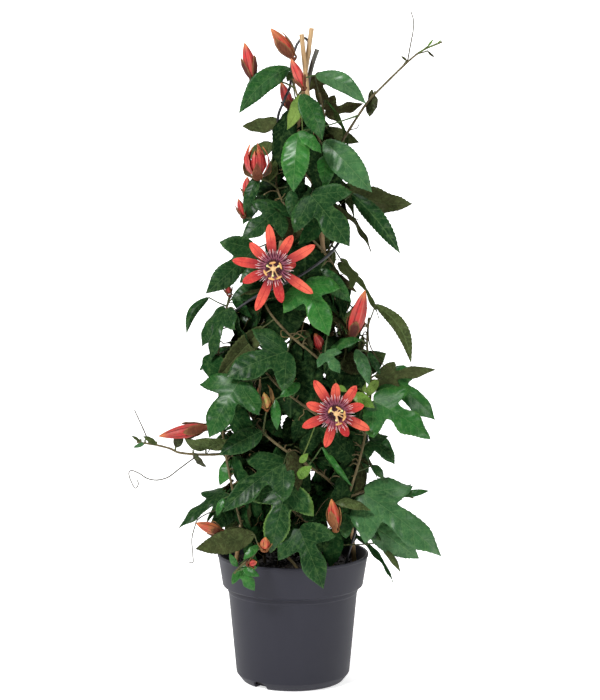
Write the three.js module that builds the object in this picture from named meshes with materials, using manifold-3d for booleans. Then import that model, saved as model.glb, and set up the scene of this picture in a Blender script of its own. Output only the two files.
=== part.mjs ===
// A passion flower vine trained up three canes in a nursery pot: lobed leaves, two open flowers, buds and
// tendrils. Millimetres, +Z up, origin at the centre of the pot's underside, front towards -Y.
import * as THREE from "three";
import { mergeVertices } from "three/addons/utils/BufferGeometryUtils.js";
import Module from "manifold-3d";

const wasm = await Module();
wasm.setup();

// ---------------------------------------------------------------- driving dimensions, in mm

const POT_HEIGHT = 145;
const POT_RIM_RADIUS = 85;
const POT_COLLAR_HEIGHT = 36;
const POT_COLLAR_FOOT_RADIUS = 79;
const POT_BODY_TOP_RADIUS = 73;
const POT_BODY_FOOT_RADIUS = 64;
const POT_BASE_RADIUS = 57;
const POT_BASE_CHAMFER = 9;
const POT_WALL = 2.3;
const POT_FLOOR = 3;
const POT_SEGMENTS = 24;
const DRAIN_NOTCHES = 3;
const DRAIN_NOTCH_WIDTH = 17;
const DRAIN_NOTCH_HEIGHT = 8;
const DRAIN_NOTCH_DEPTH = 12;
const DRAIN_NOTCH_REACH = 3.2;
const DRAIN_NOTCH_TURN = -128;

const SOIL_TOP = 131;
const SOIL_RISE = 3;
const SOIL_LUMP = 1.6;
const ROOT_DEPTH = 36;
const GAP = 0.35;

const CANE_RADIUS = 2.6;
const CANE_NODE_SWELL = 0.5;
const CANE_NODE_SPACING = 150;
const WIRE_RADIUS = 1.5;
const STEM_RADIUS = 1.6;
const SHOOT_RADIUS = 1.1;
const STALK_RADIUS = 0.85;
const TENDRIL_RADIUS = 0.5;
const BLADE_THICKNESS = 0.8;
const PETAL_THICKNESS = 0.9;
const CLEARANCE = 0.45;

const BLOOM_CUP_RADIUS = 7;
const BLOOM_CUP_DEPTH = 3;
const BLOOM_CUP_TOP = 0.4;
const CORONA_RADIUS = 20.5;
const CORONA_RING_RADIUS = 5.6;
const CORONA_HOLE_RADIUS = 3.2;
const CORONA_FILAMENTS = 20;
const FILAMENT_RADIUS = 0.45;
// Ends of the longer and shorter filaments: share of the corona's radius and height over its ring's foot.
const FILAMENT_ENDS = [[1, 4.2], [0.86, 3]];
const COLUMN_RADIUS = 1.5;
const COLUMN_HEIGHT = 9;
const OVARY_RADIUS = 3;
// Stamens reach this far, those that hang down further by a share of it.
const STAMEN_REACH = 8.6;
const STAMEN_HANG = 0.35;
const ANTHER_HALVES = [1.5, 3.8, 1.4];
const STYLES = 3;

const CANE_SIDES = 5;
const WIRE_STEPS = 48;
const WIRE_SIDES = 5;
const STEM_SIDES = 3;
const STEM_STEPS = 22;
const STEM_RISE = 27;
const SHOOT_STEPS = 8;
// Spots on a stem that stalks may spring from, and how a stalk picks among them.
const SPOTS_A_STEP = 4;
const STALK_LEAST = 12;
const STALK_ABOVE_COST = 3;
const STALK_SHIFTS = [0, -7, 7, -14];
const STALK_SHIFT_COST = 0.3;
const STALK_CHOICES = 10;
const STALK_RISE = 0.22;
const STALK_STEPS = 2;
const BUD_FULLNESS = 0.8;
const SMALL_BUD = 25;
// Heights of a closed bud's rings, its foot's first, as shares of its length.
const BUD_RINGS = { large: [0.06, 0.25, 0.5, 0.8], small: [0.1, 0.35, 0.75] };
const HOLDER_DEPTH = 3.2;
const HOLDER_RIM = 1.3;
// A bract starts a little under its bud. It lies against a closed one, and leans out of an open one's way.
const BRACT_START = -0.95;
const BRACT_SPACE = 0.45;
const BRACT_LEAN = 0.7;
// Half angle that a bract takes round its bud, for three bracts and for two, and how it narrows upwards.
const BRACT_ANGLES = { 3: 50, 2: 66 };
const BRACT_TAPER = [[0, 0.8], [0.3, 1], [0.65, 0.7], [1, 0]];
const SMALL_LEAF = 46;
// The opening bud: its heart's width, and its petals' heights, spreads and width as shares.
const OPENING_PETALS = 5;
const HEART_SHARE = 0.42;
const OPENING_HEIGHTS = [0.88, 1];
const OPENING_SPREADS = [0.34, 0.22, 0.22];
const OPENING_WIDTH = 0.66;
const PETAL_WIDTH = 12.3;
const PETAL_LAYERS = [-0.9, -0.4];

const SEED = 7;

const COLOURS = {
  potPlastic: 0x45454b, compost: 0x1c1613, oldBamboo: 0x5a554a, wireCoating: 0x16171a,
  bud: 0xb8453c, petal: 0xdf4a35, corona: 0x6a3048, column: 0xe6cf9c, foliage: 0x2f6a38,
};

// ---------------------------------------------------------------- where things stand, in mm

// Canes: foot below the soil and head, each [x, y, z].
const CANES = [
  { name: "cane_1", foot: [71.5, -8, 113], head: [9.7, -4, 722], colour: 0xc8a06e },
  { name: "cane_2", foot: [-66.9, -8, 113], head: [20.8, 3.7, 729], colour: 0xc69a66 },
];
// The third cane is old and bows outwards at its top.
const OLD_CANE = [[5, 66, 100], [6, 44, 300], [10, 27, 520], [15, 11, 650], [20, 8, 684], [27, 6, 706]];

// Wire: angle round the plant's leaning axis in degrees, distance from it, height.
const WIRE_TURNS = [
  [-32, 64, 96], [-31, 66, 132], [-22, 73, 175], [-8, 78, 220], [15, 80, 283], [55, 80, 316],
  [95, 80, 347], [140, 79, 378], [180, 76, 407], [220, 71, 434], [270, 61, 462], [315, 52, 490],
  [360, 45, 517], [405, 41, 546], [450, 37, 575], [495, 33, 602], [540, 29, 630], [570, 26, 650],
];
// From its turns the wire rises beside the canes and ends in an open loop over them.
const WIRE_LOOP = [
  [-3, -9, 665], [-2, 0, 680], [-1, 9, 694], [2, 14, 705], [6, 15, 714], [12, 15, 719], [17, 14, 715],
  [19, 13, 705], [17, 13, 694],
];

// The plant's axis leans from the pot's centre to where the canes cross.
const AXIS_FOOT_HEIGHT = 100;
const AXIS_LEAN = 14 / 584;

// Winding stems: the height at which each passes the front, and where it ends. They share one pitch.
const STEM_PITCH = 250;
const WINDING_STEMS = [
  { vine: 2, frontHeight: 324, top: 632 },
  { vine: 3, frontHeight: 262, top: 636 },
  { vine: 5, frontHeight: 387, top: 690 },
  { vine: 6, frontHeight: 450, top: 658 },
];
// Distance of a winding stem from the axis at a height.
const STEM_DISTANCES = [
  [95, 32], [140, 33], [185, 43], [245, 61], [300, 59], [400, 47], [500, 39], [600, 26], [660, 18], [700, 15],
];

// Stems that stand outside the winding ones.
const OUTER_STEMS = [
  { vine: 1, route: [[44, -28, 95], [44, -28, 132], [51, -46, 190], [62, -54, 222], [74, -52, 262],
    [82, -44, 300], [86, -34, 340], [82, -26, 380], [84, -16, 412]] },
  { vine: 4, route: [[-42, -28, 95], [-42, -28, 132], [-56, -36, 180], [-66, -38, 222], [-74, -34, 262],
    [-80, -28, 310], [-82, -24, 360], [-80, -20, 400], [-70, -16, 432]] },
];

// Side shoots: the vine that each leaves, and its route from near that vine to its tip.
const SHOOTS = [
  { vine: 5, route: [[40, 6, 582], [50, -8, 598], [58, -12, 612], [81, -8, 647], [96, -5, 663],
    [126, 0, 692], [143, 2, 705], [164, 2, 714]] },
  { vine: 4, route: [[-74, -34, 262], [-98, -36, 262], [-124, -36, 264], [-136, -36, 269], [-152, -36, 273],
    [-172, -36, 276]] },
  { vine: 4, route: [[-44, -31, 140], [-40, -62, 160], [-36, -88, 172], [-44, -97, 160], [-55, -100, 152],
    [-63, -101, 143]] },
  { vine: 1, route: [[60, -53, 217], [80, -40, 222], [102, -32, 222], [120, -28, 217], [134, -28, 212]] },
];

// Tendrils: the vine that each grows from and its route.
const TENDRILS = [
  { vine: 5, route: [[126, 0, 692], [129, 0, 710], [132, -1, 727], [132, -1, 738], [129, 0, 748]] },
  { vine: 4, route: [[-158, -36, 275], [-163, -37, 287], [-169, -38, 301], [-174, -38, 312]] },
  { vine: 4, route: [[-103, -36, 263], [-115, -38, 254], [-126, -40, 246], [-137, -42, 238],
    [-149, -44, 235], [-160, -45, 237], [-169, -46, 243], [-178, -46, 246], [-180, -46, 241],
    [-176, -46, 230], [-173, -45, 226], [-170, -44, 230], [-171, -44, 235]] },
  { vine: 4, route: [[-62, -37, 205], [-88, -44, 200], [-104, -48, 192], [-108, -50, 183], [-111, -51, 170],
    [-110, -51, 152], [-110, -51, 144], [-115, -51, 145]] },
  { vine: 1, route: [[84, -20, 400], [84, -32, 386], [90, -35, 373], [98, -36, 363], [108, -36, 357]] },
  { vine: 5, route: [[54, -10, 606], [62, -14, 617], [70, -15, 620], [73, -15, 625]] },
];

// How far a front leaf faces sideways for each mm from the middle, and how far it faces up.
const FRONT_FAN = 0.005;
const FRONT_LOOK_UP = 0.35;

// Leaves of the front: kind, base x y z, tip x y z, width share, turn about the midrib in degrees, and
// which side faces forwards (1 the top, -1 the underside).
const FRONT_LEAVES = [
  ["lobed", 20, -58, 548, 61, -70, 494, 1, 0, 1],
  ["lobed", -6, -60, 379, -72, -74, 353, 1, 10, 1],
  ["lobed", -58, -68, 347, -90, -80, 288, 1, 0, 1],
  ["lobed", 13, -64, 454, 39, -76, 398, 0.95, 0, 1],
  ["lobed", 88, -54, 324, 149, -68, 285, 0.95, -10, 1],
  ["lobed", -10, -74, 258, -75, -90, 209, 0.8, 25, 1],
  ["lobed", -6, -82, 235, -24, -98, 165, 0.85, 0, 1],
  ["lobed", 79, -48, 220, 162, -70, 156, 0.7, 0, 1],
  ["lobed", 7, -92, 190, 33, -110, 129, 0.85, 0, 1],
  ["simple", 6, -58, 615, 1, -68, 552, 1.15, 10, 1],
  ["simple", 10, -46, 656, 32, -54, 607, 1.15, -15, 1],
  ["simple", 35, -30, 606, 86, -46, 551, 1, 15, 1],
  ["simple", -4, -22, 685, -58, -34, 636, 0.8, -30, 1],
  ["simple", 26, -8, 678, 80, -24, 646, 0.75, 30, 1],
  ["simple", 58, 6, 556, 133, 0, 537, 1.05, -15, -1],
  ["folded", 65, -8, 548, 118, -26, 483, 1, 30, 1],
  ["lobed", -15, -34, 531, -55, -46, 500, 0.9, 0, 1],
  ["lobed", -42, -14, 488, -95, -30, 440, 0.75, -25, 1],
  ["lobed", -74, -12, 422, -90, -20, 365, 0.65, 20, 1],
  ["folded", -32, -42, 404, -84, -52, 346, 1.3, -20, -1],
  ["lobed", -75, -34, 219, -125, -46, 182, 0.6, 25, 1],
  ["simple", -42, -60, 180, -106, -66, 165, 0.95, 0, -1],
  ["lobed", 57, -50, 200, 97, -60, 170, 0.85, 0, 1],
  ["folded", 92, -10, 426, 131, -20, 361, 0.9, 35, 1],
  ["lobed", 95, -20, 344, 157, -24, 355, 0.5, 30, -1],
  ["simple", -14, 6, 628, -56, -2, 622, 1.3, 25, -1],
  ["lobed", 24, 24, 678, 39, 22, 639, 0.75, 0, -1],
  ["lobed", 37, 28, 639, 78, 30, 647, 0.8, -20, -1],
  ["simple", 9, -42, 655, -6, -44, 618, 1, 20, -1],
  ["simple", 6, -54, 616, 31, -60, 593, 1.2, -25, 1],
  ["simple", 37, 16, 620, 74, 10, 604, 0.9, 0, -1],
  ["simple", 36, -36, 590, 32, -44, 553, 1.35, 0, 1],
  ["simple", -1, -44, 553, 0, -50, 522, 1.1, 0, 1],
  ["simple", -38, -20, 568, -53, -26, 528, 0.8, 0, 1],
  ["simple", -1, -28, 527, 1, -30, 496, 2, 0, -1],
  ["folded", -94, 0, 433, -118, -6, 393, 1, -30, 1],
  ["simple", -34, -20, 447, -68, -28, 432, 1.25, 0, 1],
  ["simple", -38, -16, 423, -59, -22, 395, 1.5, 0, 1],
  ["simple", -68, -2, 378, -104, -8, 352, 0.8, 0, 1],
  ["simple", -79, -6, 361, -93, -10, 335, 0.9, 0, 1],
  ["simple", 30, -44, 467, 64, -52, 432, 0.95, 20, 1],
  ["folded", 48, -18, 461, 71, -22, 440, 1, 0, -1],
  ["simple", 41, -56, 381, 75, -70, 393, 1, -35, 1],
  ["lobed", 35, -60, 379, 51, -70, 358, 1, 0, 1],
  ["simple", 69, -50, 380, 83, -58, 342, 1, -10, 1],
  ["simple", 83, -30, 375, 96, -34, 350, 0.8, 0, 1],
  ["simple", 65, -44, 358, 81, -50, 332, 1.2, 0, -1],
  ["simple", 93, -44, 346, 81, -48, 328, 1.2, 0, -1],
  ["simple", 65, -60, 333, 89, -66, 318, 1.2, 0, 1],
  ["simple", 49, -58, 341, 59, -60, 335, 1.4, 0, 1],
  ["simple", 8, -60, 344, -14, -66, 330, 1.1, 0, 1],
  ["lobed", 85, -40, 278, 112, -48, 257, 0.9, 0, 1],
  ["simple", 88, -40, 251, 100, -44, 236, 1.3, 0, 1],
  ["simple", -64, -30, 273, -116, -40, 279, 0.65, -30, 1],
  ["simple", -34, -50, 290, -80, -62, 266, 1.15, 0, 1],
  ["simple", -64, -30, 257, -81, -38, 227, 1.2, 0, 1],
  ["simple", -76, -46, 216, -83, -50, 197, 1, 0, 1],
  ["simple", 5, -80, 244, 21, -86, 258, 1.3, 0, 1],
  ["simple", 8, -78, 260, 17, -82, 271, 1.3, 0, 1],
  ["folded", 32, -60, 274, 65, -66, 232, 0.6, 30, 1],
  ["simple", 53, -56, 216, 53, -58, 232, 1, 0, 1],
  ["simple", 45, -50, 215, 85, -58, 206, 0.75, -20, 1],
  ["folded", 98, -40, 164, 119, -46, 132, 1, 0, 1],
  ["lobed", -57, -100, 147, -41, -106, 124, 1, 0, 1],
  ["simple", -37, -98, 173, -53, -104, 159, 1, 0, 1],
  ["simple", -60, -98, 150, -68, -100, 165, 1, 0, 1],
  ["simple", -53, -100, 149, -35, -108, 143, 1, 0, 1],
  ["simple", 120, -28, 216, 151, -32, 222, 0.6, 0, 1],
  ["simple", 119, -28, 218, 132, -30, 227, 0.7, 0, 1],
  ["simple", 10, -60, 199, 27, -64, 196, 1.5, 0, 1],
  ["lobed", 28, -30, 375, -3, -36, 350, 1, 0, 1],
  ["simple", 44, -20, 487, 39, -26, 463, 1.1, 0, -1],
  ["simple", -19, -58, 326, -17, -62, 293, 0.8, 0, 1],
  ["simple", -34, -30, 468, -58, -36, 452, 1.4, 0, 1],
  ["simple", -2, -16, 681, -6, -18, 670, 1.3, 0, -1],
  ["simple", 87, -4, 662, 85, -6, 641, 0.75, 0, -1],
  ["simple", 125, 0, 694, 119, 0, 699, 1, 0, -1],
  ["simple", 148, 0, 704, 156, -2, 697, 0.7, 0, -1],
  ["simple", 148, 0, 709, 154, -2, 717, 0.6, 0, 1],
  ["simple", 158, 2, 712, 163, 0, 716, 0.6, 0, 1],
];

// Leaves round the back and sides, and inside: placed by rule with a seeded draw.
const RULE_LEAVES = 35;
const RULE_LOW = 165;
const RULE_HIGH = 655;
const GOLDEN_ANGLE = 137.5;
const FRONT_SECTOR = 62;
// Rule leaves hidden behind the front ones, and those of the back and sides: their length, where the base
// stands and how far out the tip reaches as shares, their width, and how many of them are threefold.
const INNER_LEAF = { length: 62, from: 0.45, reach: 0.35, wide: 2.1, threefold: 0 };
const OUTER_LEAF = { length: 58, from: 1, reach: 1, wide: 1.2, threefold: 0.3 };
const LENGTH_SPREAD = 18;
const WIDTH_SPREAD = 0.3;
const ROLL_SPREAD = 32;
const TIP_SWING = 24;
const REACH_SHARE = 0.72;
const HANGING_SHARE = 0.8;
// Leaves get narrower where they grow nearer the axis than this.
const FULL_WIDTH_DISTANCE = 44;
// Only the least bends are tried for a rule leaf.
const RULE_BENDS = 40;
// Distance of a rule leaf's base from the axis, and the furthest that its tip reaches, by height.
const LEAF_DISTANCES = [[150, 62], [250, 66], [400, 56], [500, 44], [600, 30], [670, 20]];
const LEAF_REACHES = [[150, 104], [250, 112], [350, 100], [450, 92], [550, 72], [640, 52], [670, 42]];

// Buds: base and tip, width, length of the bracts as a share of the bud's.
const BUDS = [
  { base: [-43, -30, 672], tip: [-52, -32, 712], width: 13.5, bracts: 0.62 },
  { base: [1, -15, 696], tip: [-24, -18, 728], width: 14, bracts: 0.72 },
  { base: [12, -33, 663], tip: [-2, -36, 695], width: 11, bracts: 0.4 },
  { base: [-3, 8, 641], tip: [-13, 8, 671], width: 12, bracts: 0.35 },
  { base: [-38, -28, 566], tip: [-40, -32, 604], width: 21, bracts: 0.5, opening: true },
  { base: [-51, -12, 547], tip: [-50, -12, 567], width: 10, bracts: 0.4 },
  { base: [-54, -14, 524], tip: [-60, -14, 543], width: 8, bracts: 0.7 },
  { base: [-70, -18, 438], tip: [-73, -18, 451], width: 6.7, bracts: 0.6 },
  { base: [64, -42, 392], tip: [79, -46, 445], width: 17.5, bracts: 0.38 },
  { base: [32, -34, 377], tip: [24, -36, 397], width: 12, bracts: 0.4 },
  { base: [-28, -64, 317], tip: [-31, -64, 335], width: 10, bracts: 1.4 },
  { base: [-94, -36, 293], tip: [-148, -40, 283], width: 15, bracts: 0.5 },
  { base: [47, -72, 185], tip: [42, -76, 220], width: 13.5, bracts: 0.7 },
  { base: [-78, -58, 180], tip: [-106, -64, 191], width: 12.5, bracts: 0.45 },
  { base: [-30, -108, 171], tip: [-29, -110, 185], width: 11, bracts: 0.5 },
  { base: [-47, -104, 154], tip: [-38, -106, 157], width: 7.5, bracts: 0.5 },
  { base: [-2, -52, 345], tip: [-2, -54, 353], width: 7, bracts: 0.5 },
];

// Open flowers: centre, the way each faces, and its petals as [angle in degrees, length].
const BLOOMS = [
  { name: "bloom_a", centre: [-19, -88, 473], faces: [-0.12, -1, -0.12],
    petals: [[97, 46], [60, 39], [28, 49], [-4, 34], [-36, 50], [-81, 41], [-114, 53], [-153, 40],
      [173, 47], [136, 37]],
    stamens: [-150, -102, -62, 20, 100] },
  { name: "bloom_b", centre: [46, -88, 316], faces: [0.06, -1, 0.05],
    petals: [[123, 42], [88, 32], [51, 37], [14, 32], [-27, 42], [-62, 30], [-106, 39], [-131, 26],
      [-156, 39], [162, 33]],
    stamens: [-30, -5, -75, 60, 150] },
];
// The petal of each flower that is bent right back.
const REFLEXED = { bloom_a: 3, bloom_b: 7 };

// ---------------------------------------------------------------- small helpers

const UP = new THREE.Vector3(0, 0, 1);
const FORWARD = new THREE.Vector3(0, -1, 0);
const range = (count) => Array.from({ length: count }, (_, i) => i);
const vec = ([x, y, z]) => new THREE.Vector3(x, y, z);
const radians = (degrees) => THREE.MathUtils.degToRad(degrees);
const axisX = (height) => (height - AXIS_FOOT_HEIGHT) * AXIS_LEAN;
const curveThrough = (points) => new THREE.CatmullRomCurve3(points.map(vec), false, "catmullrom", 0.5);

// Value at x on a broken line given as [x, value] pairs.
function along(pairs, x) {
  if (x <= pairs[0][0]) return pairs[0][1];
  for (let i = 1; i < pairs.length; i++) {
    const [x0, v0] = pairs[i - 1];
    const [x1, v1] = pairs[i];
    if (x <= x1) return v0 + ((v1 - v0) * (x - x0)) / (x1 - x0);
  }
  return pairs.at(-1)[1];
}

// A seeded draw of numbers from 0 to 1.
function seededDraw(seed) {
  let state = seed;
  return () => {
    state = (state * 48271) % 2147483647;
    return state / 2147483647;
  };
}

// A closed geometry as a solid, with its faces turned outwards.
function solidOf(geometry) {
  geometry.deleteAttribute("normal");
  geometry.deleteAttribute("uv");
  const merged = mergeVertices(geometry, 1e-4);
  const made = new wasm.Manifold(
    new wasm.Mesh({
      numProp: 3,
      vertProperties: merged.attributes.position.array,
      triVerts: new Uint32Array(merged.index.array),
    }),
  );
  if (made.volume() < 0) throw new Error("a geometry is inside out");
  return made;
}

function geometryOf(solid) {
  const mesh = solid.getMesh();
  const geometry = new THREE.BufferGeometry();
  const positions = new Float32Array(mesh.numVert * 3);
  for (let i = 0; i < mesh.numVert; i++)
    positions.set(mesh.vertProperties.subarray(i * mesh.numProp, i * mesh.numProp + 3), i * 3);
  geometry.setAttribute("position", new THREE.BufferAttribute(positions, 3));
  geometry.setIndex(new THREE.BufferAttribute(new Uint32Array(mesh.triVerts), 1));
  geometry.computeVertexNormals();
  return geometry;
}

// Fuses solids that meet, and drops any scrap without volume that the fusing leaves.
function join(solids) {
  const bodies = wasm.Manifold.union(solids).decompose();
  return bodies.reduce((largest, body) => (body.volume() > largest.volume() ? body : largest));
}

const moved = (solid, matrix) => solid.transform(matrix.elements);

// A round section swept along a curve.
function tube(curve, radius, sides, steps) {
  const section = new THREE.Shape();
  for (let i = 0; i < sides; i++) {
    const angle = (-2 * Math.PI * i) / sides;
    const point = [radius * Math.cos(angle), radius * Math.sin(angle)];
    if (i === 0) section.moveTo(...point);
    else section.lineTo(...point);
  }
  section.closePath();
  return solidOf(new THREE.ExtrudeGeometry(section, { steps, bevelEnabled: false, extrudePath: curve }));
}

function lathe(profile, segments) {
  return solidOf(new THREE.LatheGeometry(profile.map(([r, z]) => new THREE.Vector2(r, z)), segments)
    .rotateX(Math.PI / 2));
}

// Frame with its third axis along a direction.
function frameAlong(origin, direction) {
  const z = direction.clone().normalize();
  const helper = Math.abs(z.z) > 0.9 ? new THREE.Vector3(0, 1, 0) : UP;
  const x = new THREE.Vector3().crossVectors(helper, z).normalize();
  const y = new THREE.Vector3().crossVectors(z, x);
  return new THREE.Matrix4().makeBasis(x, y, z).setPosition(origin);
}

// ---------------------------------------------------------------- blades: leaves, petals and bracts

// Right half of each outline as [along, across] in shares of the length, the nodes of the midrib, and the
// midrib node that each stretch of the outline is joined to.
const BLADES = {
  lobed: {
    outline: [
      [0, 0], [-0.05, 0.2], [0.06, 0.44], [0.3, 0.56], [0.32, 0.17], [0.6, 0.23], [0.84, 0.13], [1, 0],
    ],
    rib: [0, 0.32, 0.62], joined: [0, 0, 0, 0, 1, 2, 2], arch: 0.07, fold: 0.12,
  },
  threefold: {
    outline: [[0, 0], [-0.05, 0.2], [0.28, 0.56], [0.32, 0.17], [0.8, 0.16], [1, 0]],
    rib: [0, 0.5], joined: [0, 0, 0, 1, 1], arch: 0.08, fold: 0.12,
  },
  simple: {
    outline: [[0, 0], [0.13, 0.14], [0.42, 0.21], [0.78, 0.13], [1, 0]],
    rib: [0, 0.28, 0.64], joined: [1, 1, 2, 2], arch: 0.1, fold: 0.15,
  },
  small: {
    outline: [[0, 0], [0.38, 0.21], [0.78, 0.13], [1, 0]],
    rib: [0, 0.5], joined: [1, 1, 1], arch: 0.1, fold: 0.15,
  },
  folded: {
    outline: [[0, 0], [0.3, 0.11], [0.75, 0.09], [1, 0]],
    rib: [0, 0.5], joined: [1, 1, 1], arch: 0.12, fold: 0.9,
  },
  petal: {
    outline: [[0, 0.024], [0.42, 0.1], [0.85, 0.08], [1, 0]],
    rib: [0, 0.55], joined: [1, 1, 1], arch: 0.03, fold: -0.1,
  },
  bract: {
    outline: [[0, 0.06], [0.45, 0.21], [1, 0]],
    rib: [0, 0.45], joined: [1, 1], arch: 0.24, fold: 0.08,
  },
};

// Height of a blade's surface over the line from base to tip, in shares of its length.
const bladeLift = (kind, u, v) => BLADES[kind].arch * 4 * u * (1 - u) - BLADES[kind].fold * Math.abs(v);

// A blade from base to tip: facing is the way that its top looks, roll turns it about its midrib.
// With stalkFrom, a straight three-sided stalk runs from that point into the blade's base.
function blade({ kind, base, tip, facing, wide = 1, roll = 0, stalkFrom = null }, thickness, margin = 0) {
  const { outline, rib, joined } = BLADES[kind];
  const chord = new THREE.Vector3().subVectors(tip, base);
  const length = chord.length();
  const a = chord.clone().normalize();
  const n = facing.clone().addScaledVector(a, -facing.dot(a)).normalize().applyAxisAngle(a, radians(roll));
  const c = new THREE.Vector3().crossVectors(n, a);
  const grow = 1 + (2 * margin) / length;
  const half = thickness / 2 + margin;
  const positions = [];
  const place = (u, v) => {
    const lift = bladeLift(kind, u, v) * length;
    const point = base.clone().addScaledVector(a, (0.5 + (u - 0.5) * grow) * length)
      .addScaledVector(c, v * wide * grow * length).addScaledVector(n, lift);
    for (const side of [1, -1]) positions.push(...point.clone().addScaledVector(n, side * half).toArray());
    return positions.length / 6 - 1;
  };
  // The stalk's section at a point: a top corner on each side and one corner below.
  const stalkCorner = (point, direction, side, radius) => {
    const turn = new THREE.Quaternion().setFromUnitVectors(a, direction);
    const across = c.clone().applyQuaternion(turn).multiplyScalar(side * radius);
    const upwards = n.clone().applyQuaternion(turn);
    const top = point.clone().add(across).addScaledVector(upwards, radius * 0.5);
    positions.push(...top.toArray(), ...point.clone().addScaledVector(upwards, -radius * 0.8).toArray());
    return positions.length / 6 - 1;
  };
  const last = outline.length - 1;
  const tipIndex = place(...outline[last]);
  const blunt = outline[0][1] > 0;
  const start = stalkFrom ? [1, -1].map((side) => stalkCorner(base, a, side, STALK_RADIUS + margin)) : null;
  const middle = rib.map((u, i) => (i === 0 && stalkFrom ? null : place(u, 0)));
  const ribIndices = [0, 1].map((side) => (stalkFrom ? [start[side], ...middle.slice(1)] : middle));
  const sideIndices = [1, -1].map((direction, side) => outline.map(([u, v], i) => {
    if (i === last) return tipIndex;
    if (i === 0 && !blunt) return ribIndices[side][0];
    return place(u, v * direction);
  }));
  const faces = [];
  const both = (p, q, r) => {
    if (p === q || q === r || p === r) return;
    faces.push(2 * p, 2 * q, 2 * r, 2 * p + 1, 2 * r + 1, 2 * q + 1);
  };
  sideIndices.forEach((edge, side) => {
    const turned = (p, q, r) => (side === 0 ? both(p, r, q) : both(p, q, r));
    let from = 0;
    for (let i = 0; i < last; i++) {
      if (joined[i] !== from) turned(ribIndices[side][from], edge[i], ribIndices[side][joined[i]]);
      from = joined[i];
      turned(ribIndices[side][from], edge[i], edge[i + 1]);
    }
    if (from !== rib.length - 1) throw new Error(kind + " leaves a midrib node unused");
  });
  const [right, left] = sideIndices;
  const baseNodes = blunt ? [middle[0]] : [];
  const loop = [...right.slice().reverse(), ...baseNodes, ...left.slice(blunt || stalkFrom ? 0 : 1, last)];
  loop.forEach((p, i) => {
    const q = loop[(i + 1) % loop.length];
    if (stalkFrom && p === start[0]) return;
    faces.push(2 * p + 1, 2 * q + 1, 2 * q, 2 * p + 1, 2 * q, 2 * p);
  });
  if (stalkFrom) {
    const direction = base.clone().sub(stalkFrom).normalize();
    const [r0, l0] = start;
    const [r1, l1] = [1, -1].map((side) => stalkCorner(stalkFrom, direction, side, STALK_RADIUS + margin));
    faces.push(2 * l0, 2 * middle[1], 2 * r0);
    faces.push(2 * l0, 2 * r0, 2 * r1, 2 * l0, 2 * r1, 2 * l1);
    faces.push(2 * r1, 2 * r0, 2 * r0 + 1, 2 * r1, 2 * r0 + 1, 2 * r1 + 1);
    faces.push(2 * l0, 2 * l1, 2 * l1 + 1, 2 * l0, 2 * l1 + 1, 2 * l0 + 1);
    faces.push(2 * l1, 2 * r1, 2 * r1 + 1);
  }
  const geometry = new THREE.BufferGeometry();
  geometry.setAttribute("position", new THREE.BufferAttribute(new Float32Array(positions), 3));
  geometry.setIndex(faces);
  return solidOf(geometry);
}

// ---------------------------------------------------------------- meshes

const plant = new THREE.Group();

function addMesh(parent, name, solid, colour, roughness, metalness = 0) {
  const material = new THREE.MeshStandardMaterial({ color: colour, roughness, metalness });
  const mesh = new THREE.Mesh(geometryOf(solid), material);
  mesh.name = name;
  parent.add(mesh);
  return mesh;
}

// What already stands in the plant's frame: each with its owner, its solid and its box.
const standing = [];

function stand(owner, solid) {
  standing.push({ owner, solid, box: solid.boundingBox() });
}

const apart = (a, b) => [0, 1, 2].some((i) => a.max[i] < b.min[i] || b.max[i] < a.min[i]);

function meets(solid, wanted) {
  const box = solid.boundingBox();
  return standing.some((other) => wanted(other.owner) && !apart(box, other.box)
    && !solid.intersect(other.solid).isEmpty());
}

// ---------------------------------------------------------------- pot and soil

function potSolid() {
  const collarFoot = POT_HEIGHT - POT_COLLAR_HEIGHT;
  const profile = [
    [0, 0], [POT_BASE_RADIUS, 0], [POT_BODY_FOOT_RADIUS, POT_BASE_CHAMFER],
    [POT_BODY_TOP_RADIUS, collarFoot - POT_WALL], [POT_COLLAR_FOOT_RADIUS, collarFoot],
    [POT_RIM_RADIUS, POT_HEIGHT], [POT_RIM_RADIUS - POT_WALL, POT_HEIGHT],
    [POT_COLLAR_FOOT_RADIUS - POT_WALL, collarFoot + POT_WALL],
    [POT_BODY_TOP_RADIUS - POT_WALL, collarFoot], [POT_BASE_RADIUS, POT_FLOOR], [0, POT_FLOOR],
  ];
  const arch = new THREE.Shape();
  arch.moveTo(-DRAIN_NOTCH_WIDTH / 2, -1);
  arch.lineTo(DRAIN_NOTCH_WIDTH / 2, -1);
  arch.lineTo(DRAIN_NOTCH_WIDTH / 3, DRAIN_NOTCH_HEIGHT * 0.8);
  arch.quadraticCurveTo(0, DRAIN_NOTCH_HEIGHT * 1.2, -DRAIN_NOTCH_WIDTH / 3, DRAIN_NOTCH_HEIGHT * 0.8);
  const extrusion = { depth: DRAIN_NOTCH_DEPTH, bevelEnabled: false, curveSegments: 3 };
  const notches = range(DRAIN_NOTCHES).map((i) => solidOf(new THREE.ExtrudeGeometry(arch, extrusion)
    .rotateX(Math.PI / 2).rotateZ(Math.PI).translate(0, POT_BASE_RADIUS - DRAIN_NOTCH_REACH, 0)
    .rotateZ(radians(DRAIN_NOTCH_TURN - 90 + (360 * i) / DRAIN_NOTCHES))));
  return notches.reduce((pot, notch) => pot.subtract(notch), lathe(profile, POT_SEGMENTS));
}

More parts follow.
